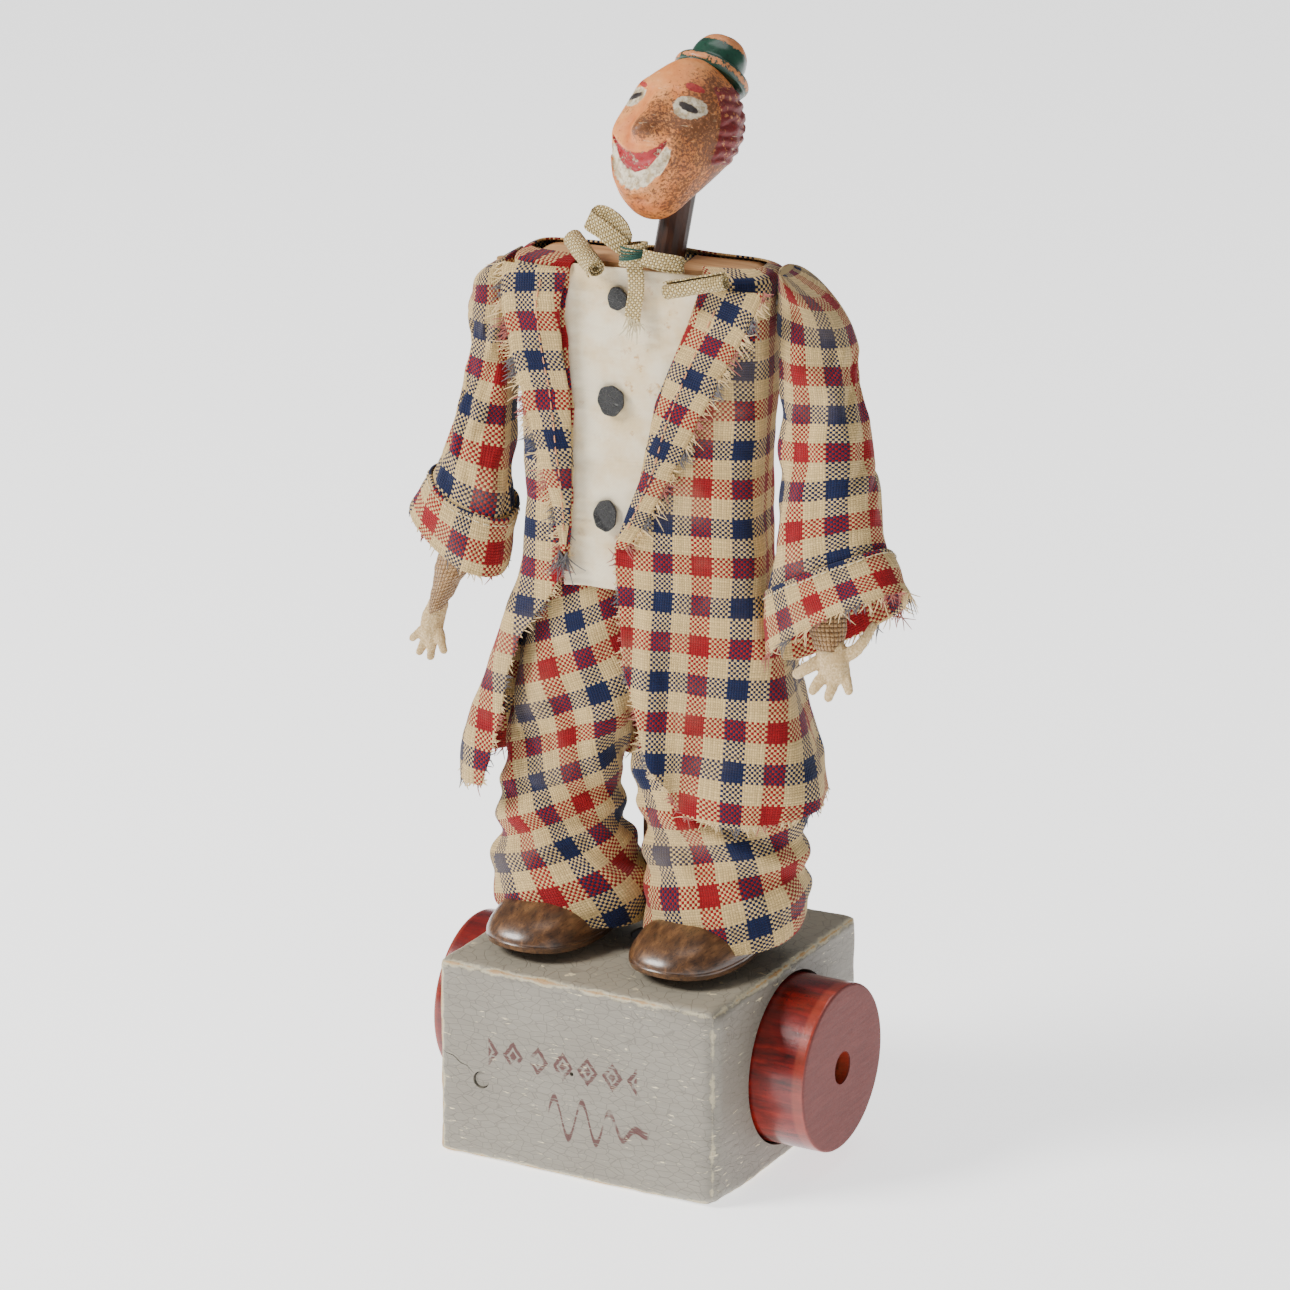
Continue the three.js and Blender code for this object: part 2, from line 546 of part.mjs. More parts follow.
function makeArm(arm) {
  const [shoulder, elbow] = arm.stick;
  const [wristTop, wristEnd] = arm.wrist;
  const shankSpace = rod([arm.side * 34, 0, SHOULDER_Z], [arm.side * 45, 0, SHOULDER_Z], SCREW_BORE);
  const headSpace = rod(
    [arm.side * (SCREW_HEAD_X - GAP), 0, SHOULDER_Z],
    [arm.side * 60, 0, SHOULDER_Z],
    SCREW_HEAD_R + GAP,
    20,
  );
  const stick = cut(rod(shoulder, elbow, ARM_R), shankSpace, headSpace);
  add(figure, `${arm.name}_arm_stick`, stick, 'bareWood');

  const wall = tube(arm.sleeve);
  const shoulderSpace = block([-34.7, -20, 180], [34.7, 20, 240]);
  const sleeve = wall.subtract(solid(shoulderSpace)).subtract(solid(shankSpace));
  add(figure, `${arm.name}_sleeve`, geometryOf(sleeve), 'check');

  const [low, next] = arm.sleeve;
  const band = 9.5;
  const at = (t, grow) => ({
    z: low.z + band * t,
    x: low.x + ((next.x - low.x) * band * t) / (next.z - low.z),
    y: low.y + ((next.y - low.y) * band * t) / (next.z - low.z),
    rx: low.rx + ((next.rx - low.rx) * band * t) / (next.z - low.z) + 1.7 + grow,
    ry: low.ry + ((next.ry - low.ry) * band * t) / (next.z - low.z) + 1.7 + grow,
  });
  const outer = solid(loft([at(-0.12, 0), at(1, 0)]));
  const ring = outer.subtract(solid(loft([at(-0.3, -CLOTH), at(1.2, -CLOTH)])));
  add(figure, `${arm.name}_sleeve_cuff`, geometryOf(ring), 'check');

  const forearm = new THREE.Vector3(...wristEnd).sub(new THREE.Vector3(...wristTop));
  const wrist = new THREE.CylinderGeometry(5.2, 3.4, forearm.length(), 16, 1);
  wrist.rotateX(Math.PI / 2).rotateX(Math.PI);
  const down = new THREE.Vector3(0, 0, -1);
  wrist.applyQuaternion(new THREE.Quaternion().setFromUnitVectors(down, forearm.normalize()));
  wrist.translate(...wristTop.map((value, i) => (value + wristEnd[i]) / 2));
  add(figure, `${arm.name}_forearm`, wrist, 'felt');

  // A flat felt mitt: a palm and four blunt fingers, cut from one piece.
  const shape = new THREE.Shape();
  shape.moveTo(-3.6, 5);
  shape.lineTo(3.6, 5);
  shape.lineTo(4.2, -1);
  for (let finger = 0; finger < 4; finger += 1) {
    const x = 4.2 - finger * 2.15;
    const end = -7.4 + Math.abs(finger - 1.4) * 0.9;
    shape.lineTo(x, end);
    shape.lineTo(x - 0.9, end - 0.8);
    shape.lineTo(x - 1.8, end);
    shape.lineTo(x - 1.95, -1.4);
  }
  shape.lineTo(-4.4, -1);
  const mitt = plate(shape, 0.7, 1.4).rotateY(rad(arm.handTurn)).translate(...arm.hand);
  const wristSpace = wrist.clone().translate(0, 0, -0.3);
  add(figure, `${arm.name}_hand`, cut(mitt, wristSpace, wrist), 'felt');
}

// ---- Clothes on the body -----------------------------------------------------------------------

/** Half width, and depth in front and behind, of the coat as [height, value]. */
const COAT_WIDTH = [[92, 47.6], [106, 46.4], [120, 42.4], [135, 36.5], [150, 32.4], [170, 31], [200, 32.2],
  [232, 33.2]];
const COAT_FRONT = [[92, 21], [120, 15.2], [150, 11.2], [232, 10.5]];
const COAT_BACK = [[92, 17.5], [120, 14], [150, 10.6], [232, 9.6]];
const COAT_SQUARE = 6;

/** A point of the coat's middle surface, at an angle from the back seam, 180 at the front. */
function coatPoint(angle, z) {
  const a = rad(angle);
  const across = Math.sin(a);
  const along = Math.cos(a);
  const depth = track(along > 0 ? COAT_BACK : COAT_FRONT, z);
  const square = (Math.abs(across) ** COAT_SQUARE + Math.abs(along) ** COAT_SQUARE) ** (-1 / COAT_SQUARE);
  return new THREE.Vector3(across * square * track(COAT_WIDTH, z), along * square * depth, z);
}

/** The angle at which the coat's front reaches x, for the side (-1 left, 1 right). */
function frontAngle(side, x, z) {
  let low = 92;
  let high = 250;
  for (let i = 0; i < 24; i += 1) {
    const middle = (low + high) / 2;
    if (coatPoint(middle, z).x < side * x) high = middle;
    else low = middle;
  }
  return side * low;
}

const FRONT_EDGE = {
  left: [[97, -38], [112, -35.2], [134, -30.6], [147, -22], [155, -17.8], [172, -15.8], [195, -15.9],
    [219, -19], [232, -17]],
  right: [[92, 20], [107, 6.3], [129, -1.7], [160, -5], [176, 1.2], [199, 5.8], [222, 14.5], [232, 18]],
};

function makeCoat() {
  const low = 92;
  const high = BOARD.top - 1.5;
  const back = panel((u, v) => coatPoint(88 - 176 * u, low + (high - low) * v), 12, 6);
  const screwSpace = rod([-50, 0, SHOULDER_Z], [50, 0, SHOULDER_Z], 4.6, 12);
  add(figure, 'coat_back', cut(back, screwSpace), 'check');

  for (const [name, side, hem] of [['left', -1, 97], ['right', 1, 92]]) {
    const front = panel((u, v) => {
      const z = hem + (high - hem) * v;
      const end = frontAngle(side, track(FRONT_EDGE[name], z), z);
      const t = side > 0 ? 1 - u : u;
      return coatPoint(side * 92.5 + (end - side * 92.5) * t, z);
    }, 6, 9);
    const armSpace = rod([side * 24, 0, SHOULDER_Z], [side * 50, 0, SHOULDER_Z], 4.6, 12);
    add(figure, `coat_${name}_front`, cut(front, armSpace), 'check');
  }
}

function makeShirt() {
  const outline = [[-19, 149], [-4, 149.5], [9, 160], [13, 180], [24, 215], [29, 232], [-29, 232],
    [-25, 200], [-21, 165]];
  const shirt = plate(outline, BOARD.front - GAP, 1);
  add(figure, 'shirt_front', shirt, 'shirt');
  const buttons = [
    ['top', -4.4, 225.3, 2.5, 2.9],
    ['middle', -6.1, 198.9, 3.4, 3.9],
    ['bottom', -7.6, 168.9, 2.9, 3.9],
  ];
  for (const [name, x, z, rx, rz] of buttons) {
    const oval = new THREE.Shape().absellipse(x, z, rx, rz, 0, Math.PI * 2, false, 0);
    add(figure, `shirt_button_${name}`, plate(oval, BOARD.front - GAP - 1 - GAP, 1, 8), 'button');
  }
}

function makeLapels() {
  const lapels = {
    left: [[-16.6, 232.5], [-19.4, 219], [-16.3, 195], [-16.2, 172], [-18.4, 157], [-20.6, 172.7],
      [-28, 198], [-34.1, 224.4], [-33.5, 232.5]],
    right: [[18.4, 232], [14.9, 222], [6.2, 199], [1.6, 176], [-4.4, 161], [-1.5, 161], [9.8, 181.4],
      [22.9, 208.3], [35.4, 231]],
  };
  for (const [name, outline] of Object.entries(lapels)) {
    add(figure, `${name}_lapel`, plate(outline, -11.9, 1.2), 'check');
  }
}

function makeTie() {
  const roll = (name, from, to, radius) => {
    const a = new THREE.Vector3(...from);
    const b = new THREE.Vector3(...to);
    const more = b.clone().sub(a).normalize().multiplyScalar(2);
    const through = rod(a.clone().sub(more).toArray(), b.clone().add(more).toArray(), radius - 1.2, 16);
    add(figure, name, cut(rod(from, to, radius), through), 'gauze');
  };
  roll('left_collar_roll', [-17.5, -5, 238.2], [-8.6, -14.9, 233.6], 2.5);
  roll('right_collar_roll', [10.6, -16.6, 229.8], [25.6, -16, 233.8], 2.3);

  const knot = new THREE.SphereGeometry(1, 12, 8).scale(2.9, 2.4, 3.3).translate(0.6, -12.6, 238.4);
  add(figure, 'tie_knot', knot, 'gauze');
  const loop = new THREE.SphereGeometry(1, 12, 8).scale(5.2, 1.5, 2.9).rotateY(rad(14));
  loop.translate(-5.6, -12.8, 244.2);
  add(figure, 'tie_left_loop', cut(loop, knot.clone().translate(0.3, 0, 0), knot), 'gauze');
  const wing = new THREE.SphereGeometry(1, 12, 8).scale(5.6, 1.4, 1.9).rotateY(rad(12));
  wing.translate(9, -12.9, 236.4);
  add(figure, 'tie_right_loop', wing, 'gauze');
  const tail = plate([[-1.6, 218.8], [2.8, 219.4], [3.8, 233.6], [-0.4, 234.4]], -11.2, 0.9);
  add(figure, 'tie_tail', tail, 'gauze');
}

function makeSeat() {
  const seat = tube([
    { z: 110.8, x: 1, y: 0, rx: 35.5, ry: 12.4 },
    { z: 124, x: 0.6, y: 0, rx: 33.5, ry: 12 },
    { z: 136.6, x: 0.3, y: 0, rx: 31, ry: 11 },
  ]);
  add(figure, 'trouser_seat', geometryOf(seat), 'check');
}

makeBlock();
makeRoller();
makeFrame();
makeHead();
LEGS.forEach(makeLeg);
ARMS.forEach(makeArm);
makeCoat();
makeShirt();
makeLapels();
makeTie();
makeSeat();

export default root;
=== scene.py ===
"""The fine visual model of a clown jig puppet on a painted wooden block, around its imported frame."""

import math
from contextlib import contextmanager

import bmesh
import bpy
import numpy as np
from mathutils import Matrix, Vector
from mathutils import noise as field


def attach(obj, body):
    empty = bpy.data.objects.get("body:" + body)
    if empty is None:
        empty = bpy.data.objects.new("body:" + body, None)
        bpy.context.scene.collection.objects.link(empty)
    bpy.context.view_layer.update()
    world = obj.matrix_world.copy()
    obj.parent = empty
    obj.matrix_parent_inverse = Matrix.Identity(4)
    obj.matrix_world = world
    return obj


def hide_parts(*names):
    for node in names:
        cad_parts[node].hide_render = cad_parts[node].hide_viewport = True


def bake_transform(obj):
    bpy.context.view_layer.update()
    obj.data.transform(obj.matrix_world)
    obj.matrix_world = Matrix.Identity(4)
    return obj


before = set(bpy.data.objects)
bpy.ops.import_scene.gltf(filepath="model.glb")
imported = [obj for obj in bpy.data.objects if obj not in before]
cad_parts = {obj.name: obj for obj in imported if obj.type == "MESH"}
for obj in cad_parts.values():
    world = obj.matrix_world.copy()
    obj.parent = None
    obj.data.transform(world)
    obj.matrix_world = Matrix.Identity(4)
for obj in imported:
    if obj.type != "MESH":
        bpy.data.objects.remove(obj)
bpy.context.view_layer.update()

MM = 0.001
FIGURE_TURN = 8  # degrees, of the figure about the vertical
FIGURE = Matrix.Rotation(math.radians(FIGURE_TURN), 4, "Z")
STRIPE = 5.1  # width of one stripe of the check, in millimetres
THREADS = 8  # threads in a stripe
MIN_FLAT = 10.1  # the narrowest flat size worked out for a sheet, in millimetres
rng = np.random.default_rng(7)


# ---- Points, meshes and modifiers ---------------------------------------------------------------


def placed(points, matrix=FIGURE):
    """Points in millimetres of a local frame, as metres in the row frame."""
    flat = np.asarray(points, float).reshape(-1, 3)
    turn = np.array(matrix.to_3x3(), float)
    return (flat @ turn.T + np.array(matrix.translation)) * MM


def place(x, y, z):
    """A point of the figure's own frame, in millimetres, in the row frame."""
    return Vector(placed([(x, y, z)])[0])


def ripple(points, scale, seed):
    """Smooth noise from -1 to 1 at each point of an array, its features scale millimetres apart."""
    shift = Vector((seed * 17.3, seed * 5.1, seed * 9.7))
    flat = points.reshape(-1, 3)
    values = [field.fractal(Vector(p) / scale + shift, 0.6, 2.1, 2) for p in flat]
    return np.clip(np.array(values), -1, 1).reshape(points.shape[:-1])


def hill(value):
    """1 where value is 0, falling smoothly to 0 a few units away on either side."""
    return np.exp(-(value**2))


def rise(value, start, end):
    """0 up to start, 1 from end, in a straight line between."""
    return np.clip((value - start) / (end - start), 0, 1)


def turns(count):
    """Angles evenly round a circle, from 0."""
    return np.linspace(0, 2 * math.pi, count, endpoint=False)


def track(rows, t):
    """Values at t of [t, value] rows, in straight lines between them."""
    rows = np.array(rows, float)
    return np.interp(t, rows[:, 0], rows[:, 1])


def smooth_track(pairs, t):
    """Values at t of [t, value...] rows, along a smooth curve through them."""
    rows = np.array(pairs, float)
    at, values = rows[:, 0], rows[:, 1:]
    t = np.clip(np.asarray(t, float), at[0], at[-1])
    i = np.clip(np.searchsorted(at, t, side="right") - 1, 0, len(at) - 2)
    slope = np.gradient(values, at, axis=0)
    span = (at[i + 1] - at[i])[..., None]
    s = (t - at[i])[..., None] / span
    low, high = values[i], values[i + 1]
    curve = (2 * s**3 - 3 * s**2 + 1) * low + (3 * s**2 - 2 * s**3) * high
    curve += (s**3 - 2 * s**2 + s) * slope[i] * span + (s**3 - s**2) * slope[i + 1] * span
    return curve[..., 0] if values.shape[1] == 1 else curve


def new_object(name, vertices, faces, smooth=True):
    mesh = bpy.data.meshes.new(name)
    mesh.from_pydata([tuple(v) for v in vertices], [], faces)
    mesh.validate()
    mesh.polygons.foreach_set("use_smooth", [smooth] * len(mesh.polygons))
    made = bpy.data.objects.new(name, mesh)
    bpy.context.collection.objects.link(made)
    return made


def ring_faces(rings, sides, base=0):
    """Faces between rings of vertices, each ring closed on itself."""
    faces = []
    for low in range(base, base + (rings - 1) * sides, sides):
        for i in range(sides):
            k = (i + 1) % sides
            faces.append([low + i, low + k, low + sides + k, low + sides + i])
    return faces


def built(name, mesh):
    """An object made of this edited mesh, which is then let go."""
    made = new_object(name, [], [])
    mesh.to_mesh(made.data)
    mesh.free()
    return made


@contextmanager
def opened(made):
    """The object's mesh open for editing, and written back afterwards."""
    mesh = bmesh.new()
    mesh.from_mesh(made.data)
    mesh.verts.ensure_lookup_table()
    yield mesh
    mesh.to_mesh(made.data)
    mesh.free()


def faces_outward(mesh):
    bmesh.ops.recalc_face_normals(mesh, faces=mesh.faces)


def shade_smooth(made, sharp_from=None):
    """Smooth shading, apart from edges sharper than some degrees."""
    made.data.polygons.foreach_set("use_smooth", [True] * len(made.data.polygons))
    if sharp_from:
        made.data.set_sharp_from_angle(angle=math.radians(sharp_from))


def places_of(made):
    return np.array([v.co for v in made.data.vertices])


def move_to(made, places):
    made.data.vertices.foreach_set("co", places.ravel())


def run_along(places):
    """Running length along a line of places, from 0."""
    return np.concatenate([[0], np.cumsum(np.linalg.norm(np.diff(places, axis=0), axis=1))])


def along_line(at, run, places):
    """The places at lengths at along a line whose running length is run."""
    return np.stack([np.interp(at, run, column) for column in places.T], -1)


def grid(name, points, flat, closed=False, matrix=FIGURE, flip=False):
    """A sheet through an array of points [row, column], in millimetres of the local frame.

    flat is the same array of (across, along) places on the flat cloth, in millimetres, with one more
    column than points has where the sheet closes into a tube. They become the sheet's UV map, in metres.
    """
    rows, columns = points.shape[:2]
    wide = columns if closed else columns - 1
    faces, corners = [], []
    for j in range(rows - 1):
        for i in range(wide):
            k = (i + 1) % columns
            face = [j * columns + i, j * columns + k, (j + 1) * columns + k, (j + 1) * columns + i]
            uv = [flat[j, i], flat[j, i + 1], flat[j + 1, i + 1], flat[j + 1, i]]
            faces.append(face[::-1] if flip else face)
            corners += uv[::-1] if flip else uv
    made = new_object(name, placed(points, matrix), faces)
    layer = made.data.uv_layers.new(name="cloth")
    layer.data.foreach_set("uv", (np.array(corners) * MM).ravel())
    return made


def modify(made, kind, **settings):
    modifier = made.modifiers.new(kind.lower(), kind)
    for key, value in settings.items():
        setattr(modifier, key, value)
    return modifier


def bake(made):
    """The object with its modifiers applied to its mesh."""
    shown = made.evaluated_get(bpy.context.evaluated_depsgraph_get())
    mesh = bpy.data.meshes.new_from_object(shown)
    made.modifiers.clear()
    if made.data.shape_keys:
        made.shape_key_clear()
    made.data = mesh
    mesh.name = made.name
    return made


def thicken(made, thick, rounds=1):
    """The sheet made thick millimetres thick, and its mesh made finer by rounds of subdivision."""
    modify(made, "SOLIDIFY", thickness=thick * MM, offset=0, use_rim=True)
    modify(made, "SUBSURF", levels=rounds, render_levels=rounds)
    return bake(made)


def finish_piece(made, material, body=None, nodes=()):
    """The piece with its material and slot, riding on a body and standing for CAD nodes."""
    made.data.materials.clear()
    made.data.materials.append(material)
    if body:
        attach(made, body)
    if nodes:
        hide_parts(*nodes)
    return made


def strands(name, paths, radius, stripes=None, sides=5, taper=0.6):
    """Thin threads along paths in metres, each a closed round tube, with its stripe's place as its UV."""
    vertices, faces, uvs = [], [], []
    for number, path in enumerate(paths):
        path = np.asarray(path, float)
        along = np.gradient(path, axis=0)
        along /= np.linalg.norm(along, axis=1)[:, None] + 1e-12
        side = np.cross(along, (0.31, 0.52, 0.79))
        side /= np.linalg.norm(side, axis=1)[:, None] + 1e-12
        other = np.cross(along, side)
        steps = len(path)
        faces += ring_faces(steps, sides, len(vertices))
        low, high = len(vertices), len(vertices) + (steps - 1) * sides
        faces.append(list(range(low, low + sides))[::-1])
        faces.append(list(range(high, high + sides)))
        for k in range(steps):
            size = radius * MM * (1 - taper * (k / (steps - 1)) ** 3)
            for angle in turns(sides):
                vertices.append(path[k] + size * (math.cos(angle) * side[k] + math.sin(angle) * other[k]))
        uv = stripes[number] if stripes is not None else (0, 0)
        uvs += [uv] * (4 * sides * (steps - 1) + 2 * sides)
    made = new_object(name, vertices, faces)
    layer = made.data.uv_layers.new(name="cloth")
    layer.data.foreach_set("uv", (np.array(uvs, float) * MM).ravel())
    return made


def add_field(made, name, values):
    """A number at each vertex that a material reads by name."""
    attribute = made.data.attributes.new(name, "FLOAT", "POINT")
    attribute.data.foreach_set("value", np.asarray(values, np.float32))


# ---- Materials ----------------------------------------------------------------------------------


def colour(red, green, blue):
    """An sRGB colour of 0 to 255 as linear light."""
    shares = [c / 255 for c in (red, green, blue)]
    return tuple(c / 12.92 if c < 0.04045 else ((c + 0.055) / 1.055) ** 2.4 for c in shares)


class Value:
    """A node's output, with +, -, *, /, ** and abs() that add the Math nodes for them."""

    def __init__(self, look, socket):
        self.look = look
        self.socket = socket

    def __add__(self, other):
        return self.look.math("ADD", self, other)

    def __sub__(self, other):
        return self.look.math("SUBTRACT", self, other)

    def __rsub__(self, other):
        return self.look.math("SUBTRACT", other, self)

    def __mul__(self, other):
        return self.look.math("MULTIPLY", self, other)

    def __truediv__(self, other):
        return self.look.math("DIVIDE", self, other)

    def __pow__(self, other):
        return self.look.math("POWER", self, other)

    def __abs__(self):
        return self.look.math("ABSOLUTE", self)


class Look:
    """A node material around one Principled shader."""

    def __init__(self, name):
        self.material = bpy.data.materials.new(name)
        self.material.use_nodes = True
        self.tree = self.material.node_tree
        self.shader = self.tree.nodes["Principled BSDF"]

    def put(self, socket, value):
        """Links or sets an input."""
        if isinstance(value, Value):
            self.tree.links.new(value.socket, socket)
        elif isinstance(value, tuple) and socket.type == "RGBA":
            socket.default_value = (*value, 1)
        else:
            socket.default_value = value

    def node(self, kind, inputs=(), out=0, **settings):
        """Output number or name out of a new node with these inputs and settings."""
        node = self.tree.nodes.new("ShaderNode" + kind)
        for key, value in settings.items():
            setattr(node, key, value)
        for key, value in dict(inputs).items():
            self.put(node.inputs[key], value)
        return Value(self, node.outputs[out])

    def math(self, operation, *values):
        return self.node("Math", enumerate(values), operation=operation)

    def vector(self, operation, *values):
        return self.node("VectorMath", enumerate(values), operation=operation)

    def scaled(self, vector, factor):
        return self.node("VectorMath", {0: vector, 3: factor}, operation="SCALE")

    def mix(self, factor, a, b, blend="MIX"):
        return self.node("Mix", {0: factor, 6: a, 7: b}, 2, data_type="RGBA", blend_type=blend)

    def band(self, value, low, high):
        """0 below low to 1 above high, smoothly; the other way round where high is the lower."""
        inputs = {0: value, 1: low, 2: high}
        return self.node("MapRange", inputs, interpolation_type="SMOOTHSTEP")

    def noise(self, vector, scale=1.0, detail=3.0, rough=0.5, out=0, warp=0.0):
        inputs = {"Vector": vector, "Scale": scale, "Detail": detail, "Roughness": rough, "Distortion": warp}
        return self.node("TexNoise", inputs, out)

    def cracks(self, vector, scale=1.0):
        """Distance from the lines between the cells of a cracked surface."""
        return self.node("TexVoronoi", {"Vector": vector, "Scale": scale}, feature="DISTANCE_TO_EDGE")

    def ramp(self, value, stops, interpolation="LINEAR"):
        """Colours at stops of (position, colour)."""
        output = self.node("ValToRGB", {0: value})
        ramp = output.socket.node.color_ramp
        ramp.interpolation = interpolation
        while len(ramp.elements) < len(stops):
            ramp.elements.new(0.5)
        for element, (at, shade) in zip(ramp.elements, stops):
            element.position = at
            element.color = (*shade, 1)
        return output

    def place(self, which="Object"):
        """The point's place on the object, or with UV on its flat cloth, in metres."""
        return self.node("TexCoord", out=which)

    def stretch(self, vector, scale, turn=(0, 0, 0)):
        return self.node("Mapping", {0: vector, 2: turn, 3: scale})

    def split(self, vector):
        """The three coordinates of a vector."""
        node = self.node("SeparateXYZ", {0: vector}).socket.node
        return [Value(self, output) for output in node.outputs]

    def attribute(self, name, out="Fac"):
        """A number, or with Vector a place, stored at each vertex of the mesh."""
        return self.node("Attribute", out=out, attribute_name=name)

    def bump(self, height, distance, strength=1.0):
        return self.node("Bump", {"Height": height, "Distance": distance, "Strength": strength})

    def set(self, **values):
        """The finished material, with these inputs of the shader."""
        for key, value in values.items():
            self.put(self.shader.inputs[key.replace("_", " ")], value)
        return self.material


BEIGE = colour(220, 188, 130)
RED = colour(146, 8, 18)
NAVY = colour(11, 29, 66)


def stripe_colour(look, threads):
    """The dyed colour of thread number threads in the check: beige, red, beige, blue, round again."""
    around = look.math("FRACT", (threads + 0.5) / (4.0 * THREADS))
    return look.ramp(around, [(0.0, BEIGE), (0.25, RED), (0.5, BEIGE), (0.75, NAVY)], "CONSTANT")


def weave(look, uv, pitch, wobble):
    """(thread number across, along, whether the lengthwise thread is on top, height) of a plain weave."""
    drift = look.noise(uv, 90.0, 2.0, out=1)
    moved = look.vector("ADD", uv, look.scaled(look.vector("SUBTRACT", drift, (0.5, 0.5, 0.5)), wobble))
    x, y, _ = look.split(moved)
    across = x / pitch
    along = y / pitch
    column, row = look.math("FLOOR", across), look.math("FLOOR", along)
    parity = look.math("FLOORED_MODULO", column + row, 2.0)
    on_top = look.math("GREATER_THAN", parity, 0.5)
    bend_x = look.math("COSINE", (look.math("FRACT", across) - 0.5) * 3.0)
    bend_y = look.math("COSINE", (look.math("FRACT", along) - 0.5) * 3.0)
    height = bend_x * bend_y
    return column, row, on_top, height


def check_cloth():
    """The check: threads dyed in four stripes both ways, soft and a little faded."""
    look = Look("check_cloth")
    pitch = STRIPE * MM / THREADS
    uv = look.place("UV")
    column, row, on_top, height = weave(look, uv, pitch, 0.0009)
    spun = []
    for number in (column, row):
        shade = look.node("TexWhiteNoise", {"W": number}, noise_dimensions="1D")
        lift = shade * 0.34 + 0.80
        lift = look.node("CombineXYZ", {0: lift, 1: lift, 2: lift})
        spun.append(look.mix(1.0, stripe_colour(look, number), lift, "MULTIPLY"))
    threads = look.mix(on_top, spun[1], spun[0])
    gap = look.math("MAXIMUM", height, 0.02) ** 0.35
    shaded = look.mix(gap * -0.62 + 0.62, threads, colour(40, 26, 26))
    patches = look.band(look.noise(uv, 38.0, 4.0), 0.5, 0.72) * 0.16
    faded = look.mix(patches, shaded, colour(196, 172, 140))
    fuzz = look.noise(uv, 2600.0, 2.0)
    relief = fuzz * 0.35 + height
    return look.set(
        Base_Color=faded,
        Roughness=0.92,
        Specular_IOR_Level=0.18,
        Sheen_Weight=0.12,
        Sheen_Roughness=0.5,
        Normal=look.bump(relief, 0.00022, 0.75),
    )


def check_thread():
    """Loose threads of the check, each dyed as the stripe it came from."""
    look = Look("check_thread")
    number = look.math("FLOOR", look.split(look.place("UV"))[0] / (STRIPE * MM / THREADS))
    place = look.place()
    shade = look.mix(look.noise(place, 3000.0) * 0.3, stripe_colour(look, number), colour(235, 220, 190))
    return look.set(
        Base_Color=shade, Roughness=0.95, Sheen_Weight=0.2,
        Normal=look.bump(look.noise(place, 5000.0), 0.0001),
    )


def plain_thread(name, shade):
    look = Look(name)
    place = look.place()
    mottled = look.mix(look.noise(place, 1800.0) * 0.5, shade, tuple(0.5 * c for c in shade))
    return look.set(
        Base_Color=mottled, Roughness=0.9, Sheen_Weight=0.2,
        Normal=look.bump(look.noise(place, 4000.0), 0.0001),
    )


def shirt_cotton():
    """Thin cream cotton, stained yellow and brown, with faint grey painted shade along creases across it."""
    look = Look("shirt_cotton")
    uv = look.place("UV")
    _, _, on_top, height = weave(look, uv, 0.00034, 0.0003)
    cream, warm = colour(250, 236, 206), colour(236, 211, 164)
    base = look.mix(look.band(look.noise(uv, 70.0, 5.0, 0.6), 0.4, 0.66), cream, warm)
    spots = look.band(look.noise(uv, 230.0, 6.0, 0.7), 0.56, 0.70)
    where = look.band(look.noise(uv, 55.0, 1.0), 0.40, 0.60)
    base = look.mix(spots * where * 0.8, base, colour(196, 138, 62))
    # Painted shade: faint grey lines along creases across the cloth.
    lines = look.noise(look.stretch(uv, (30.0, 1300.0, 1.0)), 1.0, 3.0)
    base = look.mix(look.band(lines, 0.56, 0.76) * 0.10, base, colour(150, 140, 122))
    base = look.mix(on_top * 0.10, base, colour(190, 170, 130))
    relief = look.noise(uv, 400.0, 4.0) * 1.2 + height
    return look.set(
        Base_Color=base, Roughness=0.9, Specular_IOR_Level=0.2, Sheen_Weight=0.08,
        Normal=look.bump(relief, 0.00012, 0.6),
    )


def gauze():
    """Coarse cream tape, with painted shade darkening the gaps between its threads."""
    look = Look("gauze_ribbon")
    uv = look.place("UV")
    _, _, on_top, height = weave(look, uv, 0.00066, 0.0006)
    base = look.mix(on_top, colour(242, 222, 170), colour(188, 160, 104))
    base = look.mix(look.band(look.noise(uv, 160.0, 3.0), 0.5, 0.7), base, colour(198, 172, 116))
    # Painted shade: dark where the threads leave gaps between them.
    base = look.mix(look.band(height, 0.34, 0.08), base, colour(96, 76, 46))
    return look.set(
        Base_Color=base, Roughness=0.95, Specular_IOR_Level=0.15, Sheen_Weight=0.15,
        Normal=look.bump(height, 0.0003),
    )


def felt(name, light, dark, knit=0.0):
    """Matted wool, or with knit a ribbed stockinette with painted shade between its loops."""
    look = Look(name)
    place = look.place()
    fuzz = look.noise(place, 1900.0, 4.0, 0.7)
    base = look.mix(look.band(fuzz, 0.35, 0.68), dark, light)
    base = look.mix(look.band(look.noise(place, 170.0, 3.0), 0.52, 0.75), base, dark)
    relief = fuzz
    if knit:
        x, y, _ = look.split(look.place("UV"))
        wales = abs(look.math("SINE", x * (math.pi / knit)))
        loops = abs(look.math("SINE", y * (math.pi / knit)))
        relief = wales * loops * 1.6 + fuzz
        # Painted shade: darker in the hollows between the knit's loops.
        base = look.mix(look.band(wales * loops, 0.3, 0.05), base, tuple(0.45 * c for c in dark))
    return look.set(
        Base_Color=base, Roughness=1.0, Specular_IOR_Level=0.1, Sheen_Weight=0.3,
        Normal=look.bump(relief, 0.0004, 0.8),
    )


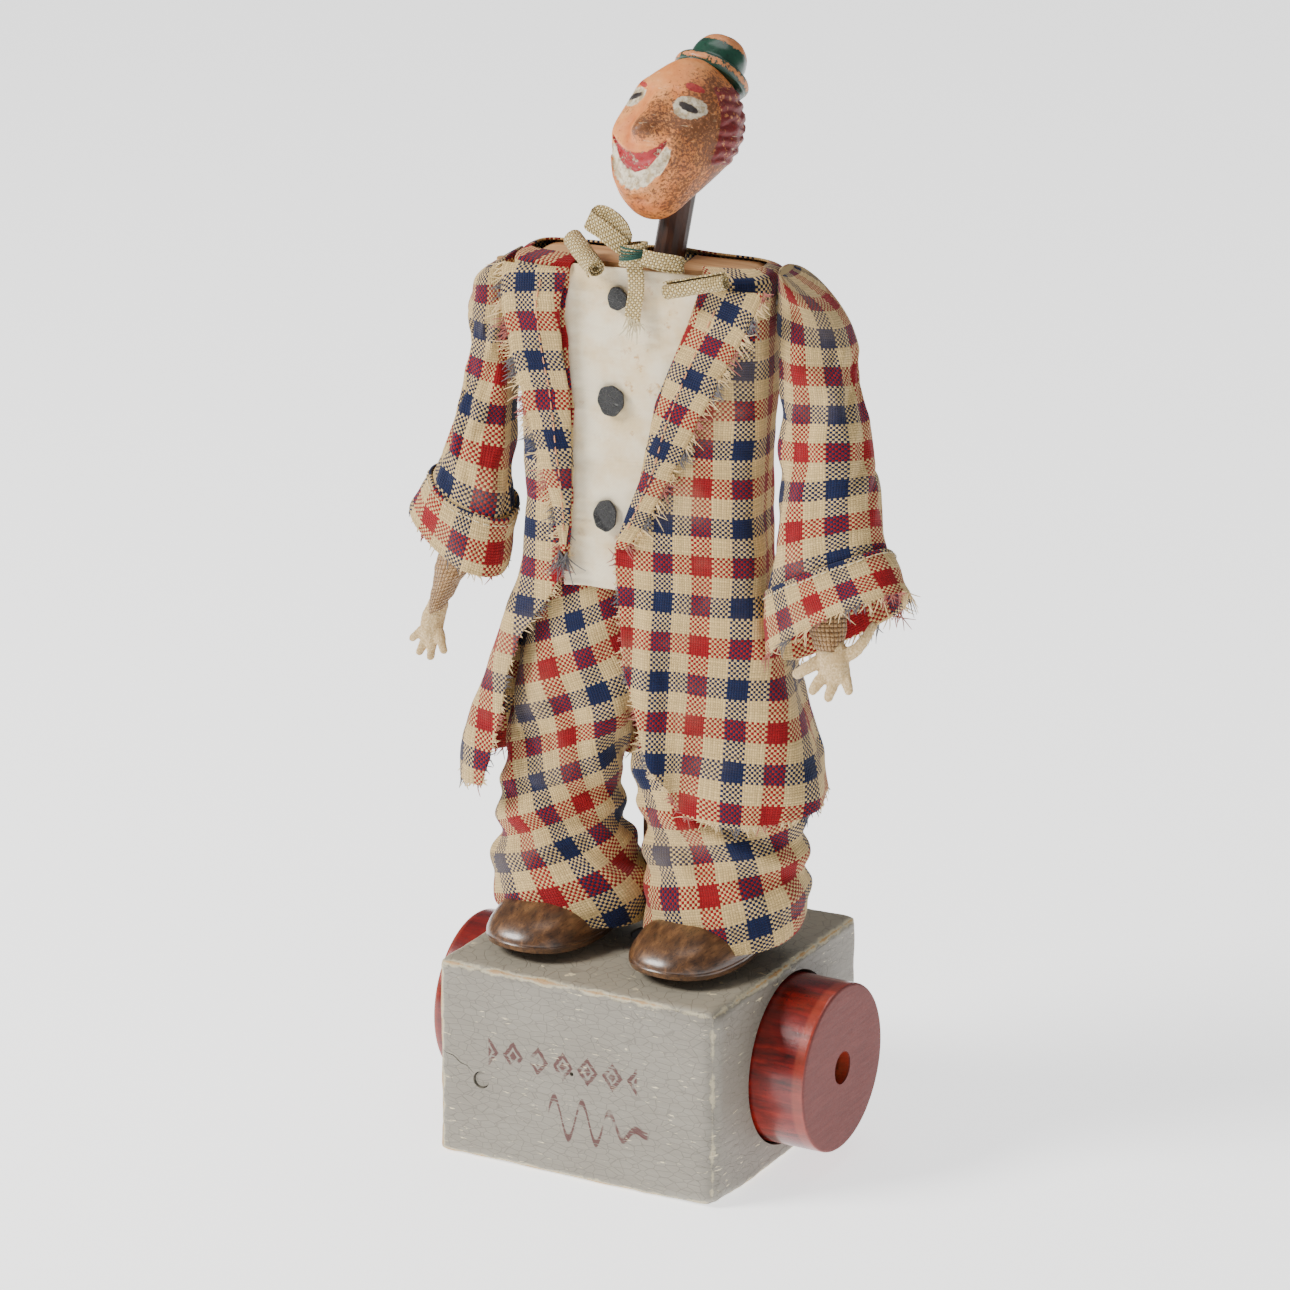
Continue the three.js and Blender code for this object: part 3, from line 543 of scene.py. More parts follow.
def leatherette():
    """Black coated cloth, crazed with grey cracks."""
    look = Look("button_leatherette")
    place = look.place()
    bent = look.vector("ADD", place, look.scaled(look.noise(place, 500.0, out=1), 0.0012))
    cracks = look.cracks(bent, 900.0)
    lines = look.band(cracks, 0.07, 0.0)
    base = look.mix(look.noise(place, 700.0, 4.0), colour(13, 13, 14), colour(44, 44, 45))
    base = look.mix(lines * 0.45, base, colour(128, 128, 124))
    height = look.noise(place, 1300.0, 4.0) - lines
    return look.set(Base_Color=base, Roughness=0.5, Normal=look.bump(height, 0.00022))


def wood(name, light, dark, along=2, roughness=0.6, scale=1.0, coat=0.0, flecks=0.3):
    """Grain that runs along one axis, with darker pores."""
    look = Look(name)
    place = look.place()
    size = [260.0 * scale] * 3
    size[along] = 22.0 * scale
    grain = look.noise(look.stretch(place, tuple(size)), 1.0, 5.0, 0.6, warp=0.6)
    fine = [1500.0 * scale] * 3
    fine[along] = 70.0 * scale
    pores = look.noise(look.stretch(place, tuple(fine)), 1.0, 3.0, 0.7)
    base = look.mix(look.band(grain, 0.34, 0.66), dark, light)
    base = look.mix(look.band(pores, 0.55, 0.75) * flecks, base, tuple(0.35 * c for c in dark))
    height = pores * -0.6 + grain * 0.5
    rough = pores * 0.22 + (roughness - 0.1)
    return look.set(
        Base_Color=base, Roughness=rough, Coat_Weight=coat, Coat_Roughness=0.14,
        Normal=look.bump(height, 0.00018, 0.5),
    )


def steel():
    look = Look("steel")
    place = look.place()
    streaks = look.noise(look.stretch(place, (200.0, 2400.0, 2400.0)), 1.0, 3.0)
    base = look.mix(streaks, colour(120, 118, 114), colour(176, 172, 164))
    return look.set(Base_Color=base, Metallic=1.0, Roughness=streaks * 0.3 + 0.25)


CLOTH = check_cloth()
THREAD = check_thread()
STITCH = plain_thread("stitch_thread", colour(222, 150, 104))
CREAM_THREAD = plain_thread("cream_thread", colour(224, 208, 166))
GREEN_THREAD = plain_thread("green_thread", colour(20, 74, 60))
COTTON = shirt_cotton()
GAUZE = gauze()
FELT = felt("cream_felt", colour(228, 202, 156), colour(184, 152, 104))
KNIT = felt("stockinette", colour(206, 170, 122), colour(150, 108, 66), knit=0.0011)
LEATHERETTE = leatherette()
BARE_WOOD = wood("bare_wood", colour(206, 166, 112), colour(160, 114, 66))
BOARD_WOOD = wood("board_wood", colour(200, 156, 108), colour(168, 120, 76), along=0)
DARK_WOOD = wood("dark_wood", colour(74, 42, 24), colour(34, 18, 11), roughness=0.42)
STEEL = steel()


# ---- Block --------------------------------------------------------------------------------------

BLOCK = Vector((80, 78, 53))
PEG = (-27.5, 22.0)  # x and z of the retaining peg
NAIL_HOLE = (-1.0, 29.0)
AXIS = (2.0, 27.0)  # y and z of the rollers' axle
RECESS_R, RECESS_DEPTH = 22.8, 18.0
CHAMBER_R, BUSH_HOLE_R, PEG_HOLE_R, NAIL_HOLE_R = 16.5, 5.8, 2.3, 0.55


def grey_paint():
    """Old grey house paint brushed sideways, flecked, and worn through at the edges, with painted light
    making its top face paler.
    """
    look = Look("grey_painted_wood")
    place = look.place()
    x, y, z = look.split(place)
    half = BLOCK * MM / 2
    gaps = [
        half.x - abs(x),
        half.y - abs(y),
        half.z - abs(z - half.z),
    ]
    pairs = [look.math("MAXIMUM", gaps[a], gaps[b]) for a, b in ((0, 1), (1, 2), (0, 2))]
    edge = look.math("MINIMUM", look.math("MINIMUM", pairs[0], pairs[1]), pairs[2])
    brush = look.noise(look.stretch(place, (45.0, 45.0, 950.0)), 1.0, 5.0, 0.65)
    blotch = look.noise(place, 45.0, 3.0)
    base = look.mix(brush, colour(122, 117, 106), colour(156, 150, 137))
    base = look.mix(look.band(blotch, 0.4, 0.7) * 0.4, base, colour(132, 126, 114))
    # Painted light: the top face is mixed paler, as if lit from above.
    top = look.band(z, 0.0515, 0.0528)
    base = look.mix(top * 0.55, base, colour(172, 163, 142))
    crazing = look.cracks(look.stretch(place, (300.0, 300.0, 640.0)))
    base = look.mix(look.band(crazing, 0.05, 0.0) * 0.35, base, colour(84, 76, 66))
    base = ornament(look, place, base)
    streak = look.noise(look.stretch(place, (230.0, 230.0, 1500.0)), 1.0, 3.0, 0.6)
    fleck = look.band(streak, 0.63, 0.68) * look.band(look.noise(place, 110.0, 2.0), 0.42, 0.58)
    base = look.mix(fleck, base, colour(226, 212, 174))
    rub = look.noise(place, 240.0, 5.0, 0.65)
    grain = look.noise(look.stretch(place, (60.0, 700.0, 700.0)), 1.0, 3.0)
    worn = look.band(edge - rub * 0.0034, 0.0, -0.0006)
    bare = look.band(edge - rub * 0.0021, 0.0, -0.0004)
    base = look.mix(worn * 0.75, base, colour(204, 192, 158))
    base = look.mix(bare * 0.85, base, look.mix(grain, colour(146, 98, 46), colour(214, 170, 106)))
    inside = look.band(look.math("MINIMUM", look.math("MINIMUM", gaps[0], gaps[1]), gaps[2]), 0.0012, 0.004)
    base = look.mix(inside, base, look.mix(grain, colour(110, 84, 56), colour(150, 120, 84)))
    height = brush * 0.8 - worn * 0.9
    height = height - look.band(crazing, 0.04, 0.0) * 0.5
    rough = blotch * 0.25 + 0.38
    return look.set(Base_Color=base, Roughness=rough, Normal=look.bump(height, 0.00022, 0.7))


def ornament(look, place, base):
    """A faded row of stamped diamonds and a wavy flourish in dark red on the block's front."""
    x, y, z = look.split(place)
    drift = (look.noise(place, 700.0, 3.0) - 0.5) * 0.0012
    across = x + drift
    step = 0.0072
    cell = look.math("FRACT", across / step) - 0.5
    lift = abs(z - 0.0305)
    diamond = abs(cell) * (1.25 * step) + lift * 0.95
    ring = abs(diamond - 0.0030)
    core = look.band(diamond, 0.0015, 0.0012)
    stamped = look.math("MAXIMUM", look.band(ring, 0.0009, 0.0006), core)
    row = stamped * (look.band(x, -0.0255, -0.0250) * look.band(x, 0.0182, 0.0176))
    wave = look.math("SINE", x * 780.0)
    swell = look.band(x, 0.023, 0.004) * 0.0052
    curl = abs(z - 0.0165 - wave * swell)
    line = look.band(curl, 0.0013, 0.0008) * (look.band(x, -0.008, -0.0074) * look.band(x, 0.0215, 0.0205))
    mark = look.math("MAXIMUM", row, line) * look.band(y, -0.0384, -0.0388)
    skips = look.noise(look.stretch(place, (260.0, 260.0, 2600.0)), 1.0, 2.0, 0.6)
    fade = look.band(skips, 0.32, 0.46) * look.band(look.noise(place, 190.0), 0.30, 0.44)
    return look.mix(mark * fade * 0.9, base, colour(82, 34, 32))


GREY_PAINT = grey_paint()


def rounded_block():
    """The block with its worn round edges, before its holes are cut."""
    mesh = bmesh.new()
    bmesh.ops.create_cube(mesh, size=2)
    bmesh.ops.subdivide_edges(mesh, edges=mesh.edges[:], cuts=43, use_grid_fill=True)
    half = np.array(BLOCK) / 2
    points = np.array([v.co for v in mesh.verts])
    points = np.sin(points * math.pi / 2) * half
    rub = ripple(points, 9.0, 3)
    fine = ripple(points, 2.6, 5)
    radius = 2.3 + 0.7 * rub + 0.35 * fine
    front_right = rise(points[:, 0] - points[:, 1], 60, 74)
    radius = (radius + 1.8 * front_right)[:, None]
    core = np.clip(points, -half + radius, half - radius)
    out = points - core
    length = np.linalg.norm(out, axis=1)[:, None]
    points = np.where(length > 1e-6, core + out / np.maximum(length, 1e-9) * radius, points)
    points += (ripple(points, 26.0, 8) * 0.12)[:, None] * np.sign(points) * (np.abs(points) > half - 0.4)
    points = np.clip(points, -half, half)
    for vertex, point in zip(mesh.verts, points):
        vertex.co = Vector(point + (0, 0, half[2])) * MM
    return built("painted_block", mesh)


def cutter(low, high, radius, axis, centre, sides=96):
    """A cylinder from low to high along axis 0, 1 or 2, in millimetres, with centre giving the other two."""
    angle = turns(sides)
    ring = np.stack([np.cos(angle), np.sin(angle)], 1) * radius + centre
    others = [a for a in range(3) if a != axis]
    vertices = np.zeros((2 * sides, 3))
    for k, level in enumerate((low, high)):
        part = vertices[k * sides : (k + 1) * sides]
        part[:, axis] = level
        part[:, others] = ring
    faces = ring_faces(2, sides)
    faces += [list(range(sides))[::-1], [sides + s for s in range(sides)]]
    made = new_object("cutter", vertices * MM, faces, False)
    with opened(made) as mesh:
        faces_outward(mesh)
    return made


def crack(points, depth, direction, width):
    """A thin jagged wedge along points, as deep as depth along direction, to cut a crack."""
    points = np.array(points, float)
    direction = np.array(direction, float)
    along = np.gradient(points, axis=0)
    side = np.cross(along, direction)
    side /= np.linalg.norm(side, axis=1)[:, None]
    open_by = width * np.sin(np.linspace(0.12, math.pi - 0.12, len(points)))[:, None] / 2
    lip = points - direction * 0.8
    rows = [lip + side * open_by, lip - side * open_by, points + direction * depth]
    vertices = np.concatenate(rows)
    n = len(points)
    faces = []
    for i in range(n - 1):
        for a, b in ((0, 1), (1, 2), (2, 0)):
            faces.append([a * n + i, a * n + i + 1, b * n + i + 1, b * n + i])
    faces += [[0, n, 2 * n], [n - 1, 3 * n - 1, 2 * n - 1]]
    made = new_object("cutter", vertices * MM, faces, False)
    with opened(made) as mesh:
        faces_outward(mesh)
    return made


def make_block():
    """The block with its recesses, holes and three cracks cut out of it."""
    made = rounded_block()
    half = BLOCK / 2
    top, front = BLOCK.z, -half.y
    cutters = [
        cutter(half.x - RECESS_DEPTH, half.x + 1, RECESS_R, 0, AXIS),
        cutter(-half.x - 1, -half.x + RECESS_DEPTH, RECESS_R, 0, AXIS),
        cutter(-half.x, half.x, CHAMBER_R, 0, AXIS),
        cutter(front - 1, AXIS[0], PEG_HOLE_R, 1, PEG, 32),
        cutter(front - 1, front + 6, NAIL_HOLE_R, 1, NAIL_HOLE, 16),
        cutter(AXIS[1], top + 1, BUSH_HOLE_R, 2, (0, AXIS[0]), 48),
    ]
    # In from the left along the front, across the top's right edge, and down the right side.
    run = [(-half.x - 0.4, 28.6), (-38, 27.6), (-35.5, 27.2), (-33.6, 25.7), (-31.6, 25.2), (-29.4, 23.4)]
    cutters.append(crack([(x, front, z) for x, z in run], 1.6, (0, 1, 0), 0.42))
    run = [(-4.2, -6.2), (-3, -5.4), (-1.9, -5.9), (-0.6, -4.8), (0.5, -5.2)]
    cutters.append(crack([(half.x + x, y, top) for x, y in run], 2.2, (0, 0, -1), 0.9))
    run = [(0.4, -5.2), (-1.2, -4.8), (-2.6, -5.3), (-3.9, -4.6)]
    cutters.append(crack([(half.x, y, top + z) for z, y in run], 1.5, (-1, 0, 0), 0.9))
    for tool in cutters:
        modify(made, "BOOLEAN", object=tool, operation="DIFFERENCE", solver="EXACT")
        bake(made)
        bpy.data.objects.remove(tool)
    shade_smooth(made, 38)
    finish_piece(made, GREY_PAINT, "base", ["base_block"])


# ---- Rollers ------------------------------------------------------------------------------------


def red_stain():
    """Red stain over varnish on the rim, scuffed dark, with a dull brown end."""
    look = Look("red_stained_wood")
    place = look.place()
    x = look.split(place)[0]
    out = abs(x)
    streaks = look.noise(look.stretch(place, (60.0, 420.0, 420.0)), 1.0, 5.0, 0.65, warp=0.4)
    blotch = look.noise(place, 85.0, 4.0, 0.6)
    reds = [(0.30, colour(52, 12, 10)), (0.46, colour(116, 20, 16)), (0.60, colour(150, 32, 24))]
    rim = look.ramp(streaks, reds + [(0.78, colour(180, 70, 46))])
    rim = look.mix(look.band(blotch, 0.48, 0.66) * 0.7, rim, colour(104, 18, 14))
    specks = look.noise(place, 1500.0, 3.0, 0.7)
    scuffed = look.band(specks, 0.54, 0.66) * look.band(look.noise(place, 60.0), 0.42, 0.6)
    rim = look.mix(scuffed * 0.8, rim, colour(28, 12, 10))
    grain = look.noise(look.stretch(place, (500.0, 130.0, 1100.0), (0.5, 0.0, 0.0)), 1.0, 4.0, 0.6)
    end = look.mix(grain, colour(92, 40, 38), colour(132, 64, 58))
    end = look.mix(look.band(look.noise(place, 2200.0, 2.0), 0.55, 0.7) * 0.4, end, colour(60, 36, 36))
    on_end = look.band(x, 0.0544, 0.0548) + look.band(x, -0.0524, -0.0528)
    base = look.mix(on_end, rim, end)
    lip = look.band(out, 0.0512, 0.0524) * (1.0 - on_end)
    base = look.mix(lip * 0.35, base, colour(190, 84, 60))
    rough = on_end * 0.34 + (specks * 0.25 + 0.2)
    height = grain * on_end + specks * 0.5
    coat = 0.5 - on_end * 0.5
    return look.set(
        Base_Color=base, Roughness=rough, Coat_Weight=coat, Coat_Roughness=0.16,
        Normal=look.bump(height, 0.00016, 0.6),
    )


def make_roller(side, out, material):
    """A turned roller from inside its recess to its soft-edged end, with the groove of the left one."""
    name = "left" if side < 0 else "right"
    inner, outer, radius = BLOCK.x / 2 - 17.4, BLOCK.x / 2 + out, 22.0
    bore, groove = 4.3, 18.5
    profile = [(bore, inner), (radius - 0.8, inner), (radius, inner + 0.8)]
    if side < 0:
        profile += [(radius, 24.8), (groove, 24.8), (groove, 30.2), (radius, 30.2)]
    for angle in np.radians(np.arange(0, 91, 15)):
        profile.append((radius - 0.9 * (1 - math.cos(angle)), outer - 0.9 * (1 - math.sin(angle))))
    profile += [(radius - 5, outer), (12, outer - 0.05), (bore, outer - 0.05)]
    sides = 144
    vertices = []
    for r, x in profile:
        for angle in turns(sides):
            wobble = 1 + 0.0022 * math.sin(3 * angle + 1) if r > 10 else 1
            y, z = r * wobble * math.cos(angle), r * wobble * math.sin(angle)
            vertices.append((side * x, AXIS[0] + y, AXIS[1] + z))
    # The first ring once more, to close the profile on itself.
    faces = (np.array(ring_faces(len(profile) + 1, sides)) % len(vertices)).tolist()
    if side > 0:
        faces = [face[::-1] for face in faces]
    made = new_object(f"{name}_roller_turned", np.array(vertices) * MM, faces)
    shade_smooth(made, 40)
    finish_piece(made, material, "roller", [f"{name}_roller"])


# ---- Shoes --------------------------------------------------------------------------------------

SHOE_TURN = -13
SHOES = {"left": (-22.3, -8.6), "right": (18.2, -12.8)}


def clog(name, x0, y0):
    """A blunt loaf-shaped clog on a thin sole, its toe towards the viewer."""
    around, up = 96, 40
    half_width, half_length, height, sole = 14.2, 21.0, 10.8, 1.7
    points = []
    for j in range(up + 1):
        level = j / up
        for angle in turns(around):
            corner = 2.5 if math.sin(angle) < 0 else 2.6  # squarer at the heel than at the toe
            power = abs(math.cos(angle)) ** corner + abs(math.sin(angle)) ** corner
            square = power ** (-1 / corner)
            ux, uy = square * math.cos(angle), square * math.sin(angle)
            if level < 0.12:
                spread, z = 0.97 + 0.03 * level / 0.12, sole * level / 0.12
            elif level < 0.16:
                spread, z = 0.985, sole + 0.12
            else:
                t = (level - 0.16) / 0.84 * math.pi / 2
                spread, z = 0.995 * math.cos(t) ** 0.62, sole + 0.2 + (height - sole) * math.sin(t) ** 1.15
            x = ux * spread * half_width * (1 - 0.16 * max(0, uy * spread))
            y = uy * spread * half_length
            front = max(0, -y / half_length - 0.35)
            z = sole + (z - sole) * (1 - 0.5 * front) if z > sole else z
            z += 1.8 * front**2
            points.append((x, y, z))
    points = np.array(points)
    points[:, :2] += ripple(points, 9.0, 11)[:, None] * 0.08
    turn = Matrix.Rotation(math.radians(SHOE_TURN), 4, "Z")
    local = Matrix.Translation((x0, y0, BLOCK.z + 2.6)) @ turn
    rows = placed(points, FIGURE @ local)
    faces = ring_faces(up + 1, around)
    faces.append(list(range(around))[::-1])
    faces.append([up * around + i for i in range(around)])
    made = new_object(name, rows, faces)
    shade_smooth(made, 44)
    layer = made.data.attributes.new("along", "FLOAT_VECTOR", "POINT")
    layer.data.foreach_set("vector", (points * MM).ravel())
    return made


def varnished_wood():
    """Dark brown varnish over open-grained wood whose grain runs along the shoe."""
    look = Look("varnished_wood")
    place = look.attribute("along", "Vector")
    grain = look.noise(look.stretch(place, (520.0, 48.0, 520.0)), 1.0, 5.0, 0.6, warp=0.5)
    pores = look.noise(look.stretch(place, (2600.0, 260.0, 2600.0)), 1.0, 2.0, 0.7)
    ends = look.noise(place, 1700.0, 3.0, 0.7)
    browns = [(0.3, colour(46, 29, 18)), (0.5, colour(92, 61, 36)), (0.7, colour(132, 92, 56))]
    base = look.ramp(grain, browns)
    base = look.mix(look.band(pores, 0.54, 0.7) * 0.75, base, colour(24, 14, 9))
    base = look.mix(look.band(ends, 0.56, 0.72) * 0.35, base, colour(28, 16, 10))
    height = (pores + ends) * -0.5
    return look.set(
        Base_Color=base,
        Roughness=pores * 0.3 + 0.22,
        Coat_Weight=0.55,
        Coat_Roughness=0.2,
        Normal=look.bump(height, 0.0002, 0.55),
    )


def make_shoes():
    """The pair of clogs, each on its leg."""
    material = varnished_wood()
    for side, (x, y) in SHOES.items():
        made = clog(f"{side}_clog", x, y)
        finish_piece(made, material, f"{side}_leg", [f"{side}_shoe"])


# ---- Cloth --------------------------------------------------------------------------------------


def lengths(points, axis):
    """Running length along one axis of a [row, column] array of points, from 0."""
    steps = np.linalg.norm(np.diff(points, axis=axis), axis=2)
    start = np.zeros_like(np.take(steps, [0], axis=axis))
    return np.cumsum(np.concatenate([start, steps], axis=axis), axis=axis)


def ring_points(stations, rows, columns, square=2.3, start=0.0):
    """Rings of a tube through stations [t, centre x y z, half-width vector, half-depth vector]."""
    t = np.linspace(stations[0][0], stations[-1][0], rows)
    ring = smooth_track(stations, t)
    centre, wide, deep = ring[:, 0:3], ring[:, 3:6], ring[:, 6:9]
    angle = start + turns(columns)
    c, s = np.cos(angle), np.sin(angle)
    size = (np.abs(c) ** square + np.abs(s) ** square) ** (-1 / square)
    across, through = (c * size)[None, :, None], (s * size)[None, :, None]
    return centre[:, None] + wide[:, None] * across + deep[:, None] * through


def tube_flat(points, turn=0.0, start=(0.0, 0.0)):
    """Flat places of a tube's cloth: round its middle ring, and along its rows, turned by some degrees."""
    rows, columns = points.shape[:2]
    closed = np.concatenate([points, points[:, :1]], axis=1)
    round_middle = lengths(closed, 1).mean(axis=0)
    down = lengths(points, 0).mean(axis=1)
    x = np.broadcast_to(round_middle[None, :], (rows, columns + 1))
    y = np.broadcast_to(down[:, None], (rows, columns + 1))
    angle = math.radians(turn)
    c, s = math.cos(angle), math.sin(angle)
    return np.stack([x * c - y * s, x * s + y * c], 2) + np.array(start)


def push(points, amounts):
    """A tube's points moved outward along its normals, by one amount or one for each point."""
    along_u = np.roll(points, -1, axis=1) - np.roll(points, 1, axis=1)
    along_v = np.gradient(points, axis=0)
    normal = np.cross(along_u, along_v)
    normal /= np.linalg.norm(normal, axis=2)[..., None] + 1e-9
    return points + normal * np.asarray(amounts)[..., None]


SIM_FRAMES = 14
STIFFNESS = 4.0


def crumple(made, stretch, pins, limit):
    """The sheet after it has buckled: its cloth is longer and wider than the shape it is held to.

    stretch scales the cloth's own lengths; pins is how firmly each vertex stays, 0 to 1; limit is how many
    millimetres a vertex may move.
    """
    start = places_of(made)
    made.shape_key_add(name="Basis")
    rest = made.shape_key_add(name="cut")
    middle = start.mean(axis=0)
    rest.data.foreach_set("co", (middle + (start - middle) * stretch).ravel())
    group = made.vertex_groups.new(name="held")
    for index, weight in enumerate(pins):
        group.add([index], float(weight), "REPLACE")
    cloth = modify(made, "CLOTH")
    settings = cloth.settings
    settings.quality = 4
    settings.mass = 0.05
    settings.tension_stiffness = settings.compression_stiffness = STIFFNESS
    settings.shear_stiffness = STIFFNESS / 2
    settings.bending_stiffness = 0.02
    settings.tension_damping = settings.compression_damping = 12
    settings.air_damping = 6
    settings.vertex_group_mass = "held"
    settings.pin_stiffness = 12
    settings.rest_shape_key = rest
    settings.effector_weights.gravity = 0.0
    cloth.collision_settings.use_self_collision = True
    cloth.collision_settings.self_distance_min = 0.0009
    cloth.point_cache.frame_start = 1
    cloth.point_cache.frame_end = SIM_FRAMES
    scene = bpy.context.scene
    for step in range(1, SIM_FRAMES + 1):
        scene.frame_set(step)
    bake(made)
    scene.frame_set(1)
    made.vertex_groups.clear()
    moved = places_of(made) - start
    far = np.linalg.norm(moved, axis=1)
    keep = np.minimum(1, limit * MM / np.maximum(far, 1e-9))[:, None]
    move_to(made, start + moved * keep)


def sheet_flat(points):
    """Flat places of a sheet's cloth, from its own lengths across and along."""
    return np.stack([lengths(points, 1), lengths(points, 0)], 2)


def declare_sheet(points, closed=False):
    """Works out the flat width, length and area of a sheet through the points, in millimetres, and keeps
    none of them.
    """
    if closed:
        points = np.concatenate([points, points[:, :1]], axis=1)
    wide = max(lengths(points, 1)[:, -1].max(), MIN_FLAT)
    long = max(lengths(points, 0)[-1].max(), MIN_FLAT)
    across, along = np.diff(points, axis=1)[:-1], np.diff(points, axis=0)[:, :-1]
    area = np.linalg.norm(np.cross(across, along), axis=2).sum()
    area = min(max(area, 0.31 * wide * long), wide * long)


def on_edge(points, flat, index, axis=1):
    """(places in metres, flat coordinates) of one edge of a sheet: a column, or a row with axis 0."""
    edge = points[:, index] if axis == 1 else points[index]
    if axis == 0 and flat.shape[1] > points.shape[1]:
        edge = np.concatenate([edge, edge[:1]])
    return placed(edge), (flat[:, index] if axis == 1 else flat[index])


def fringe(name, places, flat, outward, length, body, per_mm=1.5, dye=1, spread=0.35, droop=0.25):
    """Frayed threads along an edge: short hairs that leave it outward, dyed by their flat place."""
    run = run_along(places) / MM
    count = int(run[-1] * per_mm)
    paths, dyes = [], []
    outward = np.asarray(outward, float)
    for at in np.sort(rng.uniform(0, run[-1], count)):
        root = along_line(at, run, places)
        shade = np.interp(at, run, flat[:, dye])
        way = along_line(at, run, outward) if outward.ndim > 1 else outward
        way = way + rng.normal(0, spread, 3)
        way /= np.linalg.norm(way)
        size = length * MM * rng.uniform(0.35, 1.0) ** 1.3
        curl = rng.normal(0, 0.5, 3) + (0, 0, -droop)
        t = np.linspace(0, 1, 6)[:, None]
        path = root - way * 0.5 * MM + way * size * t + curl * size * 0.45 * t**2
        paths.append(path)
        dyes.append((shade, 0))
    made = strands(name, paths, 0.16, dyes)
    return finish_piece(made, THREAD, body)


def stitches(name, path, body, material, long, gap, radius=0.17):
    """A line of running stitches along a path in metres, each long millimetres long."""
    run = run_along(path) / MM
    dashes = []
    at = 0.4
    while at + long < run[-1]:
        dash = along_line(np.linspace(at, at + long, 5), run, path)
        dashes.append(dash)
        at += long + gap * rng.uniform(0.8, 1.2)
    made = strands(name, dashes, radius, taper=0.3)
    return finish_piece(made, material, body)


# ---- Trousers -----------------------------------------------------------------------------------

RIGHT_CUFF_CORNER = 306  # degrees round the right cuff, where it hangs down over the shoe
# Height, centre, half-width and half-depth of each leg's rings, from the cuff to the waist.
LEGS = {
    "left": [
        [60, -20.0, -2.6, 60.6, -20.6, 0, 0.6, 0, 15.0, 0.8],
        [72, -20.4, -2.4, 72, -20.4, 0, 0.4, 0, 15.0, 0.4],
        [79, -22.0, -2.4, 79, -17.0, 0, 0, 0, 13.2, 0],
        [92, -23.6, -1.2, 92, -15.2, 0, 0, 0, 12.2, 0],
        [105, -21.6, -0.2, 105, -15.0, 0, 0, 0, 12.2, 0],
        [117, -18.2, 0.2, 117, -17.6, 0, 0, 0, 12.0, 0],
        [136, -16.2, 0.2, 136, -16.0, 0, 0, 0, 10.6, 0],
        [151, -13.6, 0.1, 151, -13.4, 0, 0, 0, 8.0, 0],
    ],
    "right": [
        [60, 21.6, -4.2, 61.2, -20.2, 0, -1.2, 0, 16.4, 2.6],
        [72, 22.6, -4.2, 72, -20.8, 0, 0, 0, 16.4, 0.8],
        [79, 22.0, -3.6, 79, -20.6, 0, 0, 0, 14.0, 0],
        [92, 19.6, -2.2, 92, -21.6, 0, 0, 0, 13.4, 0],
        [105, 17.2, -1.2, 105, -21.4, 0, 0, 0, 13.0, 0],
        [117, 16.8, -0.2, 117, -17.6, 0, 0, 0, 12.4, 0],
        [136, 16.0, 0.2, 136, -16.0, 0, 0, 0, 10.6, 0],
        [151, 13.6, 0.1, 151, -13.4, 0, 0, 0, 8.0, 0],
    ],
}


def trouser_leg(side):
    """One leg of the trousers up to the waist, slack above its cuff, so that it lies in folds."""
    sign = -1 if side == "left" else 1
    rows, columns = 48, 52
    points = ring_points(LEGS[side], rows, columns, 2.2, math.pi / 2)
    low = points[..., 2]
    seed = 31 if side == "left" else 47
    lean = ripple(points * (0.5, 0.5, 0.2), 16.0, seed)
    height = low + 6.0 * lean + sign * (points[..., 0] - LEGS[side][0][1]) * 0.12
    stack = hill((low - 84) / 13)
    rolls = np.sin((height - 79) * 2 * math.pi / 9.6) * 1.6 * stack
    slant = np.sin((low * 0.55 + points[..., 0] * sign * 0.9) * 2 * math.pi / 24 + seed) * 1.3
    slant *= hill((low - 112) / 16)
    points = push(points, rolls + slant + 0.9 * ripple(points, 11.0, seed + 2))
    inner = points[..., 0] * sign
    meet = rise(low, 104, 112)
    points[..., 0] = np.where(inner < 0.5, sign * (inner * (1 - meet) + 0.5 * meet), points[..., 0])
    flat = tube_flat(points, 14 if sign > 0 else 24, (3.0 if sign > 0 else 9.0, 2.0))
    made = grid(f"{side}_trouser_cloth", points, flat, closed=True)
    at = points[..., 2].ravel()
    pins = rise(at, 118, 132) + rise(at, 74, 68)
    crumple(made, np.array([1.10, 1.10, 1.32]), np.clip(pins, 0.02, 1), limit=4.5)
    thicken(made, 0.55, 2)
    finish_piece(made, CLOTH, None, [f"{side}_trouser_leg"])
    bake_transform(made)
    declare_sheet(points, closed=True)


ROD_REACH = 9.5  # the cuff keeps off the rod this far before and behind it
ROD_SIDE = 3.6  # and this far to its left


def clear_of_rod(points):
    """The left cuff's points kept off the lift rod, so that the leg can swing back past it."""
    turn = np.array(FIGURE.to_3x3())
    row = points @ turn.T
    near = rise(np.abs(row[..., 1] - AXIS[0]), ROD_REACH, ROD_REACH - 2.5)
    row[..., 0] -= near * np.maximum(row[..., 0] + ROD_SIDE, 0)
    return row @ turn


